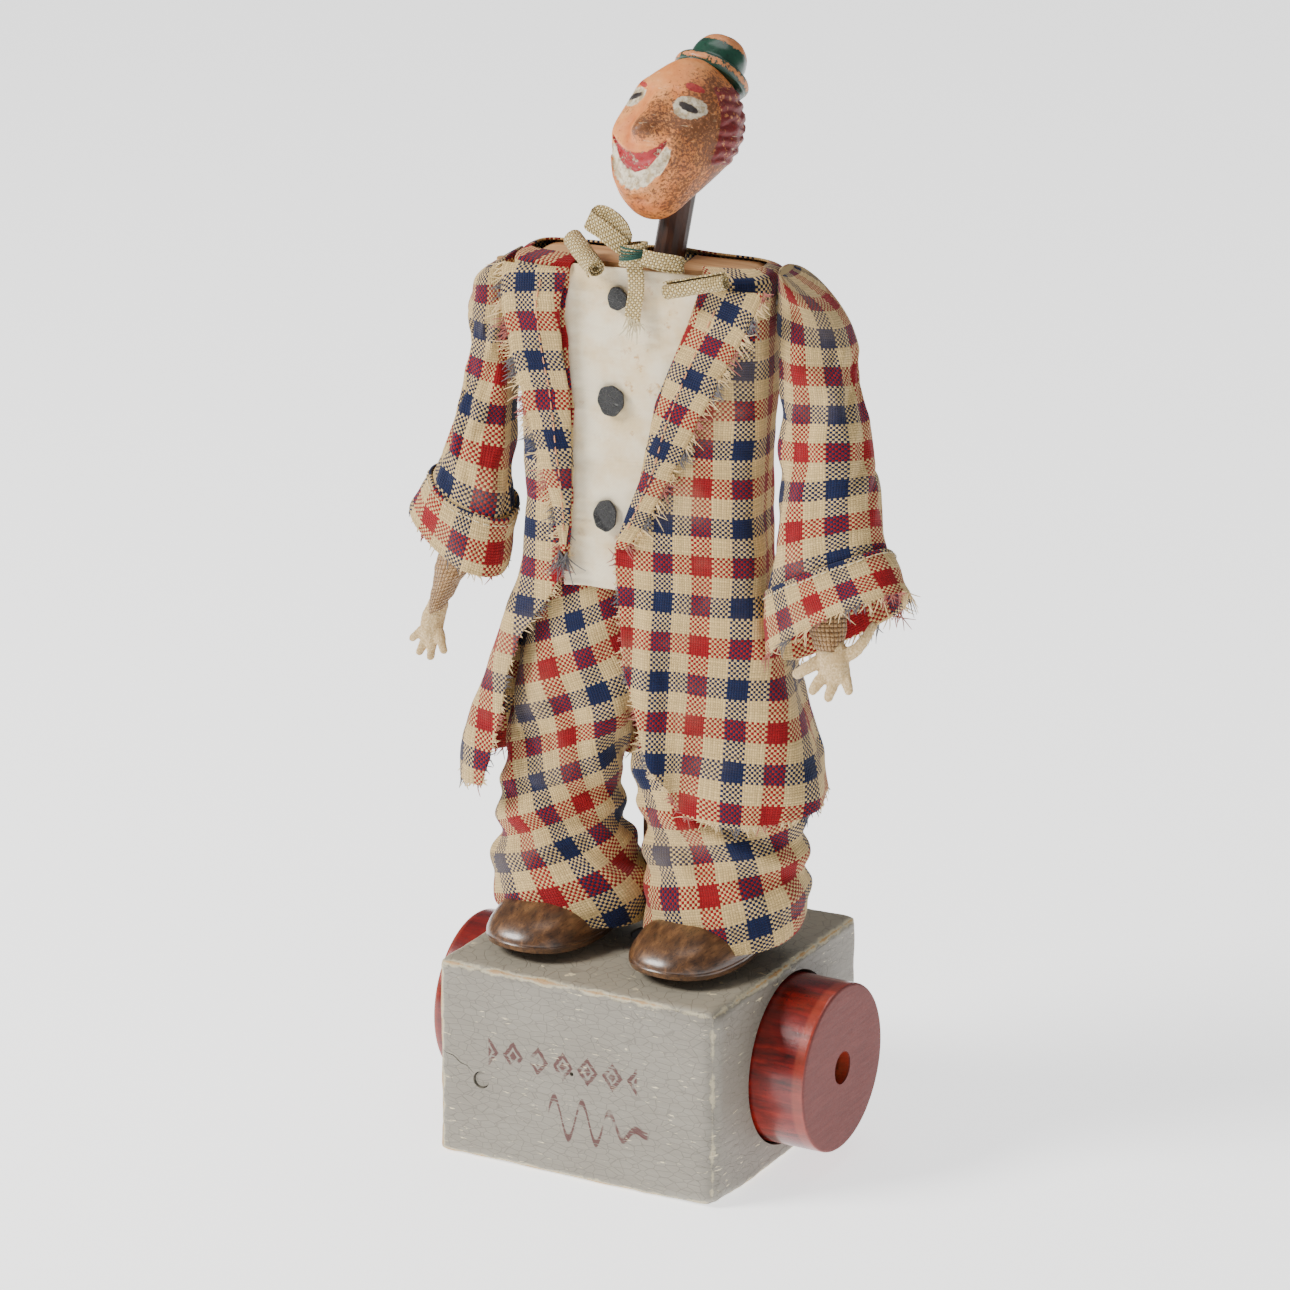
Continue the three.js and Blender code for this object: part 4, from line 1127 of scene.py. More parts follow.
def trouser_cuff(side):
    """The turned-up end of a leg: a band a little wider than the leg, stitched along its top."""
    rows, columns = 22, 120
    points = ring_points(LEGS[side][:3], 160, columns, 2.2, math.pi / 2)
    low = points[..., 2]
    start, end = (61.2, 74.6) if side == "left" else (61.4, 74.4)
    keep = np.linspace(start, end, rows)
    index = np.clip(np.searchsorted(low.mean(axis=1), keep), 0, len(low) - 1)
    points = points[index]
    across = turns(columns) + math.pi / 2
    down = np.linspace(1, 0, rows)[:, None]
    seed = 3 if side == "left" else 9
    wave = ripple(points * (1, 1, 0.35), 13.0, seed)
    lip = hill((1 - down - 0.96) / 0.07)
    points = push(points, 2.3 + 0.8 * wave + 0.8 * down * np.sin(across * 3 + seed) + 0.5 * lip)
    if side == "left":
        drop = 0.9 * np.cos(across - math.radians(230))
    else:
        past = (across - math.radians(RIGHT_CUFF_CORNER)) % (2 * math.pi)
        corner = np.exp(-(past**2) / 0.12) + np.exp(-((2 * math.pi - past) ** 2) / 0.12)
        drop = -5.6 * corner + 1.2
        points[..., 0] += corner * down * 2.4
        points[..., 1] -= corner * down * 2.0
    points[..., 2] += drop * down**1.5
    if side == "left":
        points = clear_of_rod(points)
    flat = tube_flat(points, 0, (4.0, 1.0))
    made = grid(f"{side}_cuff_cloth", points, flat, closed=True)
    thicken(made, 0.9)
    finish_piece(made, CLOTH, f"{side}_leg", [f"{side}_trouser_cuff"])
    seam = placed(push(points, 0.75)[rows - 5])
    seam = np.concatenate([seam, seam[:1]])
    sewn = stitches(f"{side}_cuff_stitches", seam, f"{side}_leg", CREAM_THREAD, 2.0, 0.5)
    declare_sheet(points, True)


def make_trousers():
    """Both legs and their cuffs; the seat is the top of the two legs' cloth."""
    for side in ("left", "right"):
        trouser_leg(side)
        trouser_cuff(side)
    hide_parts("trouser_seat")


# ---- Coat ---------------------------------------------------------------------------------------

COAT_TOP = 232.0
MEAN_HEM = 96
BOARD_TOP = 234.5  # the height at which the coat lies over the shoulder board
SIDE_SEAM = 93.0  # degrees from the back seam
GIRTH_Z = 125.0  # the height at which the coat's cloth is measured round
COAT_WIDTH = [[90, 48.0], [106, 46.4], [120, 42.4], [135, 36.5], [150, 32.4], [170, 31], [200, 32.2],
              [232, 33.4]]
COAT_FRONT = [[90, 21.4], [120, 15.4], [150, 12.0], [232, 10.9]]
COAT_BACK = [[90, 17.8], [120, 14], [150, 10.8], [232, 9.8]]
FRONT_EDGE = {
    "left": [[94, -40], [103, -37.5], [112, -35.2], [134, -30.6], [147, -22], [155, -17.8], [172, -15.8],
             [195, -15.9], [219, -19], [232, -17]],
    "right": [[92, 20], [107, 6.3], [129, -1.7], [160, -5], [176, 1.2], [199, 5.8], [222, 14.5], [232, 18]],
}
HEM = [[-180, 94], [-150, 95], [-120, 95], [-92, 97.5], [-60, 95], [0, 96.5], [60, 95.5], [92, 98],
       [120, 97], [150, 93.8], [168, 94.6], [180, 97.5], [200, 98]]


def coat_point(angle, z):
    """The coat before its folds, at angles in degrees from the back seam (180 in front) and heights."""
    a = np.radians(angle)
    across, along = np.sin(a), np.cos(a)
    depth = np.where(along > 0, track(COAT_BACK, z), track(COAT_FRONT, z))
    power = 4.6
    square = (np.abs(across) ** power + np.abs(along) ** power) ** (-1 / power)
    return np.stack([across * square * track(COAT_WIDTH, z), along * square * depth, z], -1)


def coat_folds(points):
    """How far the cloth stands out of its plain shape: drape folds at the skirt, puckers above."""
    x, y, z = points[..., 0], points[..., 1], points[..., 2]
    skirt = rise(z, 152, 102)
    turn = np.arctan2(x, y)
    drape = np.sin(turn * 7 + 0.7 + 0.012 * (z - 100)) * 1.5 + np.sin(turn * 12 + 2.0 - 0.02 * z) * 0.6
    broad = ripple(points * (1, 1, 0.45), 19.0, 12) * 1.5
    fine = ripple(points * (1, 1, 0.8), 7.5, 21) * 0.45
    return drape * skirt + broad * (0.45 + 0.7 * skirt) + fine


def edge_angle(side, z):
    """The angle at which the coat's front reaches its edge, for heights z."""
    target = track(FRONT_EDGE["left" if side < 0 else "right"], z)
    angles = np.linspace(92, 250, 400)
    found = []
    for x, height in zip(target, z):
        reach = coat_point(angles, np.full(400, height))[:, 0]
        found.append(side * angles[np.argmax(reach < side * x)])
    return np.array(found)


def coat_panel(name, start, end, start_at, columns):
    """A panel between two angles at each height (functions of z), its top turned over the shoulder.

    start_at is the flat place of its corner on the check.
    """
    rows = 110
    t = np.linspace(0, 1, rows)
    points = np.zeros((rows, columns, 3))
    angles = np.zeros((rows, columns))
    for i, u in enumerate(np.linspace(0, 1, columns)):
        z = MEAN_HEM + (COAT_TOP - MEAN_HEM) * t
        angle = start(z) * (1 - u) + end(z) * u
        low = track(HEM, angle[0])
        z = low + (COAT_TOP - low) * t
        angle = start(z) * (1 - u) + end(z) * u
        points[:, i] = coat_point(angle, z)
        angles[:, i] = angle
    points = outward(points, coat_folds(points))
    over = np.linspace(0, 1, 15)[1:, None, None]
    top = points[-1][None]
    neck = top * (0.9, 0.6, 1)
    behind_neck = hill((top[..., 0] - 4.5) / 8) * (top[..., 1] > 0)
    neck[..., 1] += 0.22 * top[..., 1] * behind_neck
    neck[..., 2] = BOARD_TOP
    yoke = top * (1 - over) + neck * over
    yoke[..., 2] = top[..., 2] + (neck[..., 2] - top[..., 2]) * over[..., 0] ** 0.55
    points = np.concatenate([points, yoke])
    flat = coat_flat(angles, points, rows) + start_at
    return grid(name, points, flat), points, flat


def coat_flat(angles, points, rows):
    """Flat places of the coat's cloth: along its girth from the middle of the panel, and its height."""
    every = np.linspace(0, 260, 261)
    ring = coat_point(every, np.full(261, GIRTH_Z))
    girth = run_along(ring)
    around = np.sign(angles) * np.interp(np.abs(angles), every, girth)
    wide = track(COAT_WIDTH, points[:rows, :, 2]) / track(COAT_WIDTH, GIRTH_Z)
    front = np.sign(angles) * np.interp(180.0, every, girth)
    whole = np.abs(angles).max() > 95
    across = front + (around - front) * wide if whole else around * wide
    flat = np.zeros((*points.shape[:2], 2))
    flat[:rows, :, 0] = across
    flat[:rows, :, 1] = points[:rows, :, 2] - 90
    last = points[rows - 1]
    for k in range(rows, len(points)):
        flat[k, :, 0] = flat[rows - 1, :, 0] + points[k, :, 0] - last[:, 0]
        flat[k, :, 1] = flat[rows - 1, :, 1] + np.abs(points[k, :, 1] - last[:, 1])
    return flat


def outward(points, amounts):
    """Points moved away from the coat's middle line."""
    way = points * (0.75, 1.0, 0)
    way = way / (np.linalg.norm(way, axis=2)[..., None] + 1e-9)
    return points + way * amounts[..., None]


def left_seam(z):
    return np.full(len(z), -SIDE_SEAM)


def right_seam(z):
    return np.full(len(z), SIDE_SEAM)


def left_edge(z):
    return edge_angle(-1, z)


def right_edge(z):
    return edge_angle(1, z)


def make_coat():
    """The back and the two fronts, which meet at the side seams."""
    # Piece, its two edges, where it starts on the check in stripes, its columns, its node, and which column
    # is its open front edge.
    panels = [
        ("coat_back_cloth", left_seam, right_seam, (3, 0), 96, "coat_back", None),
        ("coat_left_cloth", left_edge, left_seam, (1.3, 1.2), 70, "coat_left_front", 0),
        ("coat_right_cloth", right_seam, right_edge, (1.6, 0), 70, "coat_right_front", -1),
    ]
    hung = []
    for name, start, end, (across, up), columns, node, edge in panels:
        made, points, flat = coat_panel(name, start, end, (across * STRIPE, up * STRIPE), columns)
        hung.append((made, points, flat, node, edge))
    for made, points, flat, node, edge in hung:
        thicken(made, 0.6)
        finish_piece(made, CLOTH, "figure", [node])
        hem, hem_flat = on_edge(points, flat, 0, axis=0)
        name = f"{made.name}_hem_fringe"
        trims = [fringe(name, hem, hem_flat, (0, -0.12, -1), 2.6, "figure", 1.9, 0, 0.3)]
        if edge is not None:
            keep = points[:, 0, 2] < 163
            side, side_flat = on_edge(points, flat, edge)
            way = (0.95, -0.25, -0.1) if edge == 0 else (-0.95, -0.25, -0.1)
            name = f"{made.name}_edge_fringe"
            trims.append(fringe(name, side[keep], side_flat[keep], way, 2.4, "figure", 2.2, 1))
        declare_sheet(points)


# Height, then x of the fold line and x of the raw edge, of each lapel.
LAPELS = {
    "left": [[158, -18.0, -18.9], [165, -17.0, -20.0], [172.7, -16.2, -21.6], [185, -16.2, -25.2],
             [198, -16.4, -28.6], [212, -18.4, -32.2], [224.4, -18.6, -34.4], [232.8, -16.4, -33.2]],
    "right": [[161, -4.6, -1.6], [170, -1.4, 4.4], [181.4, 3.0, 10.6], [195, 5.6, 17.2], [208.3, 9.8, 23.6],
              [222, 15.2, 30.8], [231.4, 18.6, 35.2]],
}


def make_lapel(side):
    """A turned-back front with a raw, ravelled edge and a line of stitches inside it."""
    sign = -1 if side == "left" else 1
    rows, columns = 76, 26
    z = np.linspace(LAPELS[side][0][0], LAPELS[side][-1][0], rows)
    edges = smooth_track(LAPELS[side], z)
    u = np.linspace(0, 1, columns)[None, :]
    x = edges[:, :1] * (1 - u) + edges[:, 1:] * u
    height = np.broadcast_to(z[:, None], x.shape)
    high = rise(z, 161, 179)[:, None]
    y = -12.3 - 1.5 * np.sin(u * math.pi) ** 0.7 * high - 0.9 * u**3 * high
    points = np.stack([x, np.broadcast_to(y, x.shape), height], 2)
    points[..., 1] -= 0.55 * ripple(points, 9.0, 61 if sign < 0 else 67)
    ragged = ripple(points[:, -1], 2.6, 71 if sign < 0 else 73)
    points[:, -5:, 0] += sign * ragged[:, None] * np.linspace(0, 0.7, 5)[None, :]
    flat = sheet_flat(points)
    flat[..., 0] = flat[:, -1:, 0] - flat[..., 0]
    flat += (2.2 * STRIPE, 1.5 * STRIPE)
    made = grid(f"{side}_lapel_cloth", points, flat, flip=sign > 0)
    thicken(made, 0.65)
    finish_piece(made, CLOTH, "figure", [f"{side}_lapel"])
    raw, raw_flat = on_edge(points, flat, -1)
    way = (sign * 0.86, -0.3, -0.38)
    trims = [fringe(f"{side}_lapel_fringe", raw, raw_flat, way, 4.2, "figure", 3.4, 1, 0.28)]
    line = placed(points[6:-3, 9] - (0, 0.45, 0))
    trims.append(stitches(f"{side}_lapel_stitches", line, "figure", STITCH, 1.8, 1.1, 0.2))
    if side == "left":
        tip = placed(np.array([[-19.4, -12.6, 158.5], [-18.2, -12.8, 156.6], [-17.2, -12.6, 158.2]]))
        navy = np.full((3, 2), 3.4 * STRIPE)
        trims.append(fringe("left_lapel_tuft", tip, navy, (-0.1, -0.3, -1), 6.5, "figure", 11, 0, 0.35))
    declare_sheet(points)


# ---- Shirt and buttons --------------------------------------------------------------------------


def make_shirt():
    """A thin cream front pinned to the board, with shallow creases across it."""
    rows, columns = 130, 80
    z = np.linspace(149.2, 233, rows)
    left = track([[149, -19], [165, -21], [200, -24], [232, -23]], z)
    right = track([[149, 14], [180, 14], [215, 22], [232, 24]], z)
    u = np.linspace(0, 1, columns)[None, :]
    x = left[:, None] * (1 - u) + right[:, None] * u
    height = np.broadcast_to(z[:, None], x.shape).copy()
    ragged = ripple(np.stack([x[0], x[0] * 0, x[0] * 0], 1), 8.0, 4)[None, :]
    height += (1 - (z[:, None] - 149) / 84) * 0.5 * ragged
    base = np.stack([x, x * 0, height], 2)
    slow = ripple(base * (0.5, 1, 1.1), 15.0, 81)
    crease = ripple(base * (0.35, 1, 1.7), 7.0, 83)
    bulge = 0.5 + 0.7 * slow + 0.5 * np.abs(crease)
    hem = hill((height - 149.6) / 1.1) * 0.5
    base[..., 1] = -8.9 - np.clip(bulge + hem, 0.1, 1.7)
    flat = sheet_flat(base)
    made = grid("shirt_cloth", base, flat)
    thicken(made, 0.4)
    finish_piece(made, COTTON, "figure", ["shirt_front"])
    declare_sheet(base)


def make_buttons():
    """Three ovals cut from coated cloth, tacked on, their edges a little raised."""
    ovals = [
        ("top", -4.4, 225.3, 2.6, 3.0, 0.0),
        ("middle", -6.1, 198.9, 3.5, 4.0, 0.3),
        ("bottom", -7.6, 168.9, 3.0, 4.1, 1.6),
    ]
    rings, sides = 12, 72
    angle = turns(sides)
    for name, x, z, wide, tall, curl in ovals:
        points = np.zeros((rings, sides, 3))
        for j in range(rings):
            r = (j + 0.35) / (rings - 0.65)
            rough = 1 + 0.035 * np.sin(3 * angle + x) + 0.025 * np.sin(7 * angle + z)
            px, pz = r * wide * rough * np.cos(angle), r * tall * rough * np.sin(angle)
            corner = np.clip(-px / wide * 0.75 - pz / tall * 0.66 - 0.45, 0, 1)
            py = -10.6 - 0.35 * (1 - r**2) - curl * corner - 0.25 * r**6
            points[j] = np.stack([x + px, py, z + pz], 1)
        flat = np.zeros((rings, sides + 1, 2))
        made = grid(f"{name}_button_cover", points, flat, closed=True)
        with opened(made) as mesh:
            mesh.faces.new(mesh.verts[:sides][::-1])
        thicken(made, 0.7)
        finish_piece(made, LEATHERETTE, "figure", [f"shirt_button_{name}"])


# ---- Sleeves ------------------------------------------------------------------------------------

# Place along the sleeve, centre, half-width vector and half-depth vector of its rings, hem to top.
SLEEVES = {
    "right": [
        [0, 54.6, -9.5, 146.5, 17.7, 0, 9.8, -3, 10.5, -7.5],
        [16, 50.8, -8.6, 161.5, 14.9, 0, 6.9, -1.5, 9.8, -4.5],
        [44, 48.2, -5.5, 189.5, 14.0, 0, 2.5, 0, 9.2, -1.5],
        [69, 45.2, -2.2, 213, 10.4, 0, 0.5, 0, 8.6, 0],
        [82, 42.6, -0.5, 225.5, 7.4, 0, -1.0, 0, 8.0, 0],
        [90, 39.0, 0, 231.8, 4.2, 0, -2.6, 0, 7.6, 0],
        [94, 35.6, 0, 233.9, 0.3, 0, -0.5, 0, 4.6, 0],
    ],
    "left": [
        [0, -49.2, -4.5, 155.9, -12.7, 1.5, 5.9, 0, 8.0, 3.2],
        [12, -46.2, -3.5, 167, -10.9, 1, 4, 0, 8.3, 2.5],
        [30, -42.6, -1.5, 185, -10.2, 0, 1.5, 0, 8.2, 1],
        [48, -40.6, 0, 203, -7.8, 0, 0.5, 0, 7.8, 0],
        [66, -40.4, 0, 220, -6.4, 0, -0.6, 0, 7.6, 0],
        [76, -38.8, 0, 229.6, -4.0, 0, -2.4, 0, 7.2, 0],
        [80, -35.6, 0, 231.5, -0.3, 0, -0.5, 0, 4.0, 0],
    ],
}
SLEEVE_FREE_X = 34.9  # the sleeves keep outside the coat


def make_sleeve(side):
    """A loose sleeve on the swinging arm, its turned-up cuff, its stitches and its ravelled hem."""
    sign = -1 if side == "left" else 1
    rows, columns = 52, 44
    points = ring_points(SLEEVES[side], rows, columns, 2.1, math.pi / 2)
    t = np.linspace(0, 1, rows)[:, None]
    seed = 91 if side == "left" else 97
    across = turns(columns)[None, :]
    broad = ripple(points * (0.8, 0.8, 0.6), 12.0, seed)
    slope = points[..., 2] + 0.9 * points[..., 0] * sign
    bend = np.sin(slope * 2 * math.pi / 15 + seed) * hill((points[..., 2] - 186) / 22)
    top = rise(t, 1, 0.75)
    out = (1.3 * broad + 0.7 * bend) * top * np.clip(t / 0.12 + 0.25, 0, 1)
    out += 1.1 * np.sin(across * 3 + seed) * rise(t, 0.22, 0)
    points = beside_coat(push(points, out), sign)
    flat = tube_flat(points, 4 * sign, (0, 0) if side == "right" else (5, 3))
    made = grid(f"{side}_sleeve_cloth", points, flat, closed=True, flip=side == "left")
    pins = np.repeat(rise(t, 0.72, 0.84) + rise(t, 0.2, 0.1), columns)
    crumple(made, np.array([1.12, 1.12, 1.14]), np.clip(pins, 0.03, 1), limit=2.2)
    clear_of_coat(made, sign)
    close_end(made, range((rows - 1) * columns, rows * columns))
    thicken(made, 0.6, 2)
    finish_piece(made, CLOTH, None, [f"{side}_sleeve"])
    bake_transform(made)
    cuff, cuff_flat = cuff_band(side, points)
    hem, hem_flat = on_edge(cuff, cuff_flat, 0, axis=0)
    way = hem - hem.mean(axis=0)
    way = way / np.linalg.norm(way, axis=1)[:, None] * 0.35 + np.array([0, -0.2, -1.0])
    long, dense = (4.4, 1.5) if side == "right" else (2.2, 1.2)
    trims = [fringe(f"{side}_sleeve_fringe", hem, hem_flat, way, long, f"{side}_arm", dense, 0, 0.4)]
    declare_sheet(points, True)


def beside_coat(points, sign):
    """Points kept outside the coat's side."""
    out = points.copy()
    out[..., 0] = sign * np.maximum(out[..., 0] * sign, SLEEVE_FREE_X)
    return out


def close_end(made, ring):
    """The tube's last ring of vertices sewn shut across, front to front."""
    count = len(ring)
    with opened(made) as mesh:
        for k in range(count // 2):
            corners = dict.fromkeys([ring[k], ring[k + 1], ring[count - 2 - k], ring[count - 1 - k]])
            if len(corners) >= 3:
                mesh.faces.new([mesh.verts[i] for i in corners])
        faces_outward(mesh)


def clear_of_coat(made, sign):
    """The same for a piece that has been crumpled."""
    local = places_of(made) @ np.array(FIGURE.to_3x3()) / MM
    move_to(made, placed(beside_coat(local, sign)))


def cuff_band(side, points):
    """The sleeve's turned-up hem: a second layer just outside the first, with stitches along its top."""
    tall = 8 if side == "right" else 9  # in rows of the sleeve
    sign = -1 if side == "left" else 1
    band = push(points, 0.9 * sign)[: tall + 1]
    band = np.repeat(band, 2, axis=0)[:-1]
    band[1::2] = (band[0:-1:2] + band[2::2]) / 2
    band = push(band, 0.4 * ripple(band, 6.0, 113) * sign)
    band = beside_coat(band, sign)
    cuff_flat = tube_flat(band, 0, (2.5, 2.0))
    made = grid(f"{side}_sleeve_band", band, cuff_flat, closed=True, flip=side == "left")
    thicken(made, 0.8)
    finish_piece(made, CLOTH, f"{side}_arm", [f"{side}_sleeve_cuff"])
    seam = placed(push(band, 0.55 * sign)[-3])
    seam = np.concatenate([seam, seam[:1]])
    sewn = stitches(f"{side}_sleeve_stitches", seam, f"{side}_arm", CREAM_THREAD, 1.6, 0.8, 0.18)
    declare_sheet(band, True)
    return band, cuff_flat


# ---- Tie ----------------------------------------------------------------------------------------


def ribbon(name, node, centre, across, width, thick=0.5):
    """A strip of gauze along centre points, its width laid along the across vectors."""
    t = np.linspace(0, 1, len(centre))
    rows = 14 * len(centre)
    both = smooth_track(np.concatenate([t[:, None], centre, across], 1), np.linspace(0, 1, rows))
    middle, side = both[:, :3], both[:, 3:]
    side = side / (np.linalg.norm(side, axis=1)[:, None] + 1e-9)
    columns = 22
    u = np.linspace(-0.5, 0.5, columns)[None, :, None]
    points = middle[:, None] + side[:, None] * u * width
    points += 0.14 * ripple(points, 3.0, 5)[..., None] * (0.4, 1, 0.6)
    flat = sheet_flat(points)
    made = grid(name, points, flat)
    thicken(made, thick)
    finish_piece(made, GAUZE, "figure", [node])
    declare_sheet(points)


def scroll(name, start, end, radius, node, rounds=2.6):
    """A strip rolled up on itself between two points, its spiral ends open."""
    start, end = Vector(start), Vector(end)
    axis = (end - start).normalized()
    up = axis.cross(Vector((0, -1, 0))).normalized()
    other = axis.cross(up)
    steps, columns = 110, 26
    points = np.zeros((steps, columns, 3))
    for j in range(steps):
        s = j / (steps - 1)
        angle = s * rounds * 2 * math.pi + 2.2
        r = radius * (0.24 + 0.76 * s)
        for i in range(columns):
            u = i / (columns - 1)
            slip = 0.9 * (s - 0.5)
            core = start.lerp(end, u) + axis * slip
            points[j, i] = core + (up * math.cos(angle) + other * math.sin(angle)) * r
    points += 0.12 * ripple(points, 2.4, 15)[..., None]
    flat = sheet_flat(points)
    made = grid(name, points, flat)
    thicken(made, 0.35)
    finish_piece(made, GAUZE, "figure", [node])
    declare_sheet(points)


def make_tie():
    """A bow of coarse gauze: two rolled collar ends, a knot tied with green thread, loops and a tail."""
    scroll("left_collar_scroll", (-18.2, -5.6, 238.4), (-8.2, -15.2, 233.6), 2.6, "left_collar_roll")
    scroll("right_collar_scroll", (10.2, -16.8, 230.2), (25.8, -16.4, 234.2), 2.4, "right_collar_roll", 2.2)
    left = [(-0.6, -13.6, 239.0), (-3.6, -14.6, 241.2), (-7.6, -14.2, 243.8), (-11.2, -12.6, 245.4),
            (-9.6, -11.0, 246.6), (-5.4, -11.2, 245.6), (-2.0, -12.0, 243.0), (-0.2, -12.6, 240.2)]
    side = [(0.15, 0.1, 1), (0.35, 0.35, 1), (0.45, 0.3, 1), (0.3, 0.6, 0.9), (0.1, 0.5, 1), (0.2, 0.1, 1),
            (0.3, 0, 1), (0.2, 0, 1)]
    ribbon("bow_left_loop", "tie_left_loop", np.array(left), np.array(side), 4.6)
    right = [(1.8, -13.4, 238.2), (5.0, -14.6, 237.6), (9.4, -14.6, 237.2), (13.4, -13.0, 236.4),
             (12.4, -11.4, 235.4), (8.0, -11.8, 235.6), (4.2, -12.4, 236.4), (1.6, -12.8, 237.0)]
    side = [(0.1, 0.1, 1), (0.1, 0.3, 1), (0, 0.35, 1), (-0.2, 0.5, 0.9), (0, 0.4, 1), (0, 0.1, 1),
            (0.1, 0, 1), (0.1, 0, 1)]
    ribbon("bow_right_loop", "tie_right_loop", np.array(right), np.array(side), 3.9)
    angle = 2 * math.pi * np.arange(9) / 8 - 0.6
    wrap = [0.6 + 2.9 * np.cos(angle), -12.7 + 2.1 * np.sin(angle), 237.8 + 0.5 * np.cos(angle)]
    across = np.tile((0.18, 0.0, 1.0), (9, 1))
    ribbon("bow_knot", "tie_knot", np.stack(wrap, 1), across, 5.6, thick=0.8)
    tail = [(0.8, -13.2, 236.0), (1.4, -12.9, 231.6), (1.0, -12.0, 227.4), (0.4, -12.2, 223.4),
            (0.2, -12.4, 221.0)]
    side = [(1, 0.1, 0.1), (1, 0.15, 0.05), (1, 0, -0.1), (1, -0.1, -0.15), (1, -0.1, -0.2)]
    ribbon("bow_tail", "tie_tail", np.array(tail), np.array(side), 4.2)
    end = placed(np.linspace((-1.7, -12.4, 221.4), (2.2, -12.4, 220.6), 12))
    frayed = strands("bow_tail_fringe", frays(end, (0.0, -0.15, -1), 5.4, 34), 0.17)
    finish_piece(frayed, CREAM_THREAD, "figure")
    binding = []
    angle = np.linspace(0, 2 * math.pi, 28)
    for k in range(5):
        x = 0.6 + 3.5 * np.cos(angle)
        y = -12.7 - 2.7 * np.sin(angle)
        z = 237.0 + 0.55 * k + 0.8 * np.cos(angle + 0.5 * k) + 0.3 * k * np.sin(angle)
        binding.append(placed(np.stack([x, y, z], 1)))
    green = strands("bow_binding", binding, 0.24, taper=0.0)
    finish_piece(green, GREEN_THREAD, "figure")


def frays(places, way, length, count):
    """Paths of short wandering hairs that leave a line of places."""
    paths = []
    for _ in range(count):
        at = rng.uniform(0, len(places) - 1.001)
        low = int(at)
        root = places[low] * (1 - at + low) + places[low + 1] * (at - low)
        aim = np.asarray(way, float) + rng.normal(0, 0.28, 3)
        aim /= np.linalg.norm(aim)
        size = length * MM * rng.uniform(0.4, 1.0)
        curl = rng.normal(0, 0.5, 3)
        t = np.linspace(0, 1, 6)[:, None]
        paths.append(root - aim * 0.6 * MM + aim * size * t + curl * size * 0.4 * t**2)
    return paths


# ---- Hands --------------------------------------------------------------------------------------

FLATNESS = 0.6  # thickness of a felt finger, as a share of its width


def blobs(name, chains, normal):
    """One soft body through chains of [x, y, z, radius] beads in millimetres, flattened along normal."""
    normal = np.array(normal, float)
    normal /= np.linalg.norm(normal)
    mesh = bmesh.new()
    for chain in chains:
        beads = np.array(chain, float)
        run = run_along(beads[:, :3])
        steps = max(2, int(run[-1] / (0.35 * beads[:, 3].min())) + 1)
        for at in np.linspace(0, run[-1], steps):
            x, y, z, r = along_line(at, run, beads)
            bead = bmesh.ops.create_icosphere(mesh, subdivisions=2, radius=r)
            shape = np.array([v.co for v in bead["verts"]])
            shape = shape - np.outer(shape @ normal, normal) * (1 - FLATNESS)
            for vertex, co in zip(bead["verts"], shape):
                vertex.co = Vector(co + (x, y, z))
    made = built(name, mesh)
    modify(made, "REMESH", mode="VOXEL", voxel_size=0.32)
    bake(made)
    modify(made, "SMOOTH", factor=0.5, iterations=3)
    bake(made)
    points = places_of(made)
    points += np.array([v.normal for v in made.data.vertices]) * (ripple(points, 1.6, 9) * 0.12)[:, None]
    move_to(made, placed(points))
    shade_smooth(made)
    return made


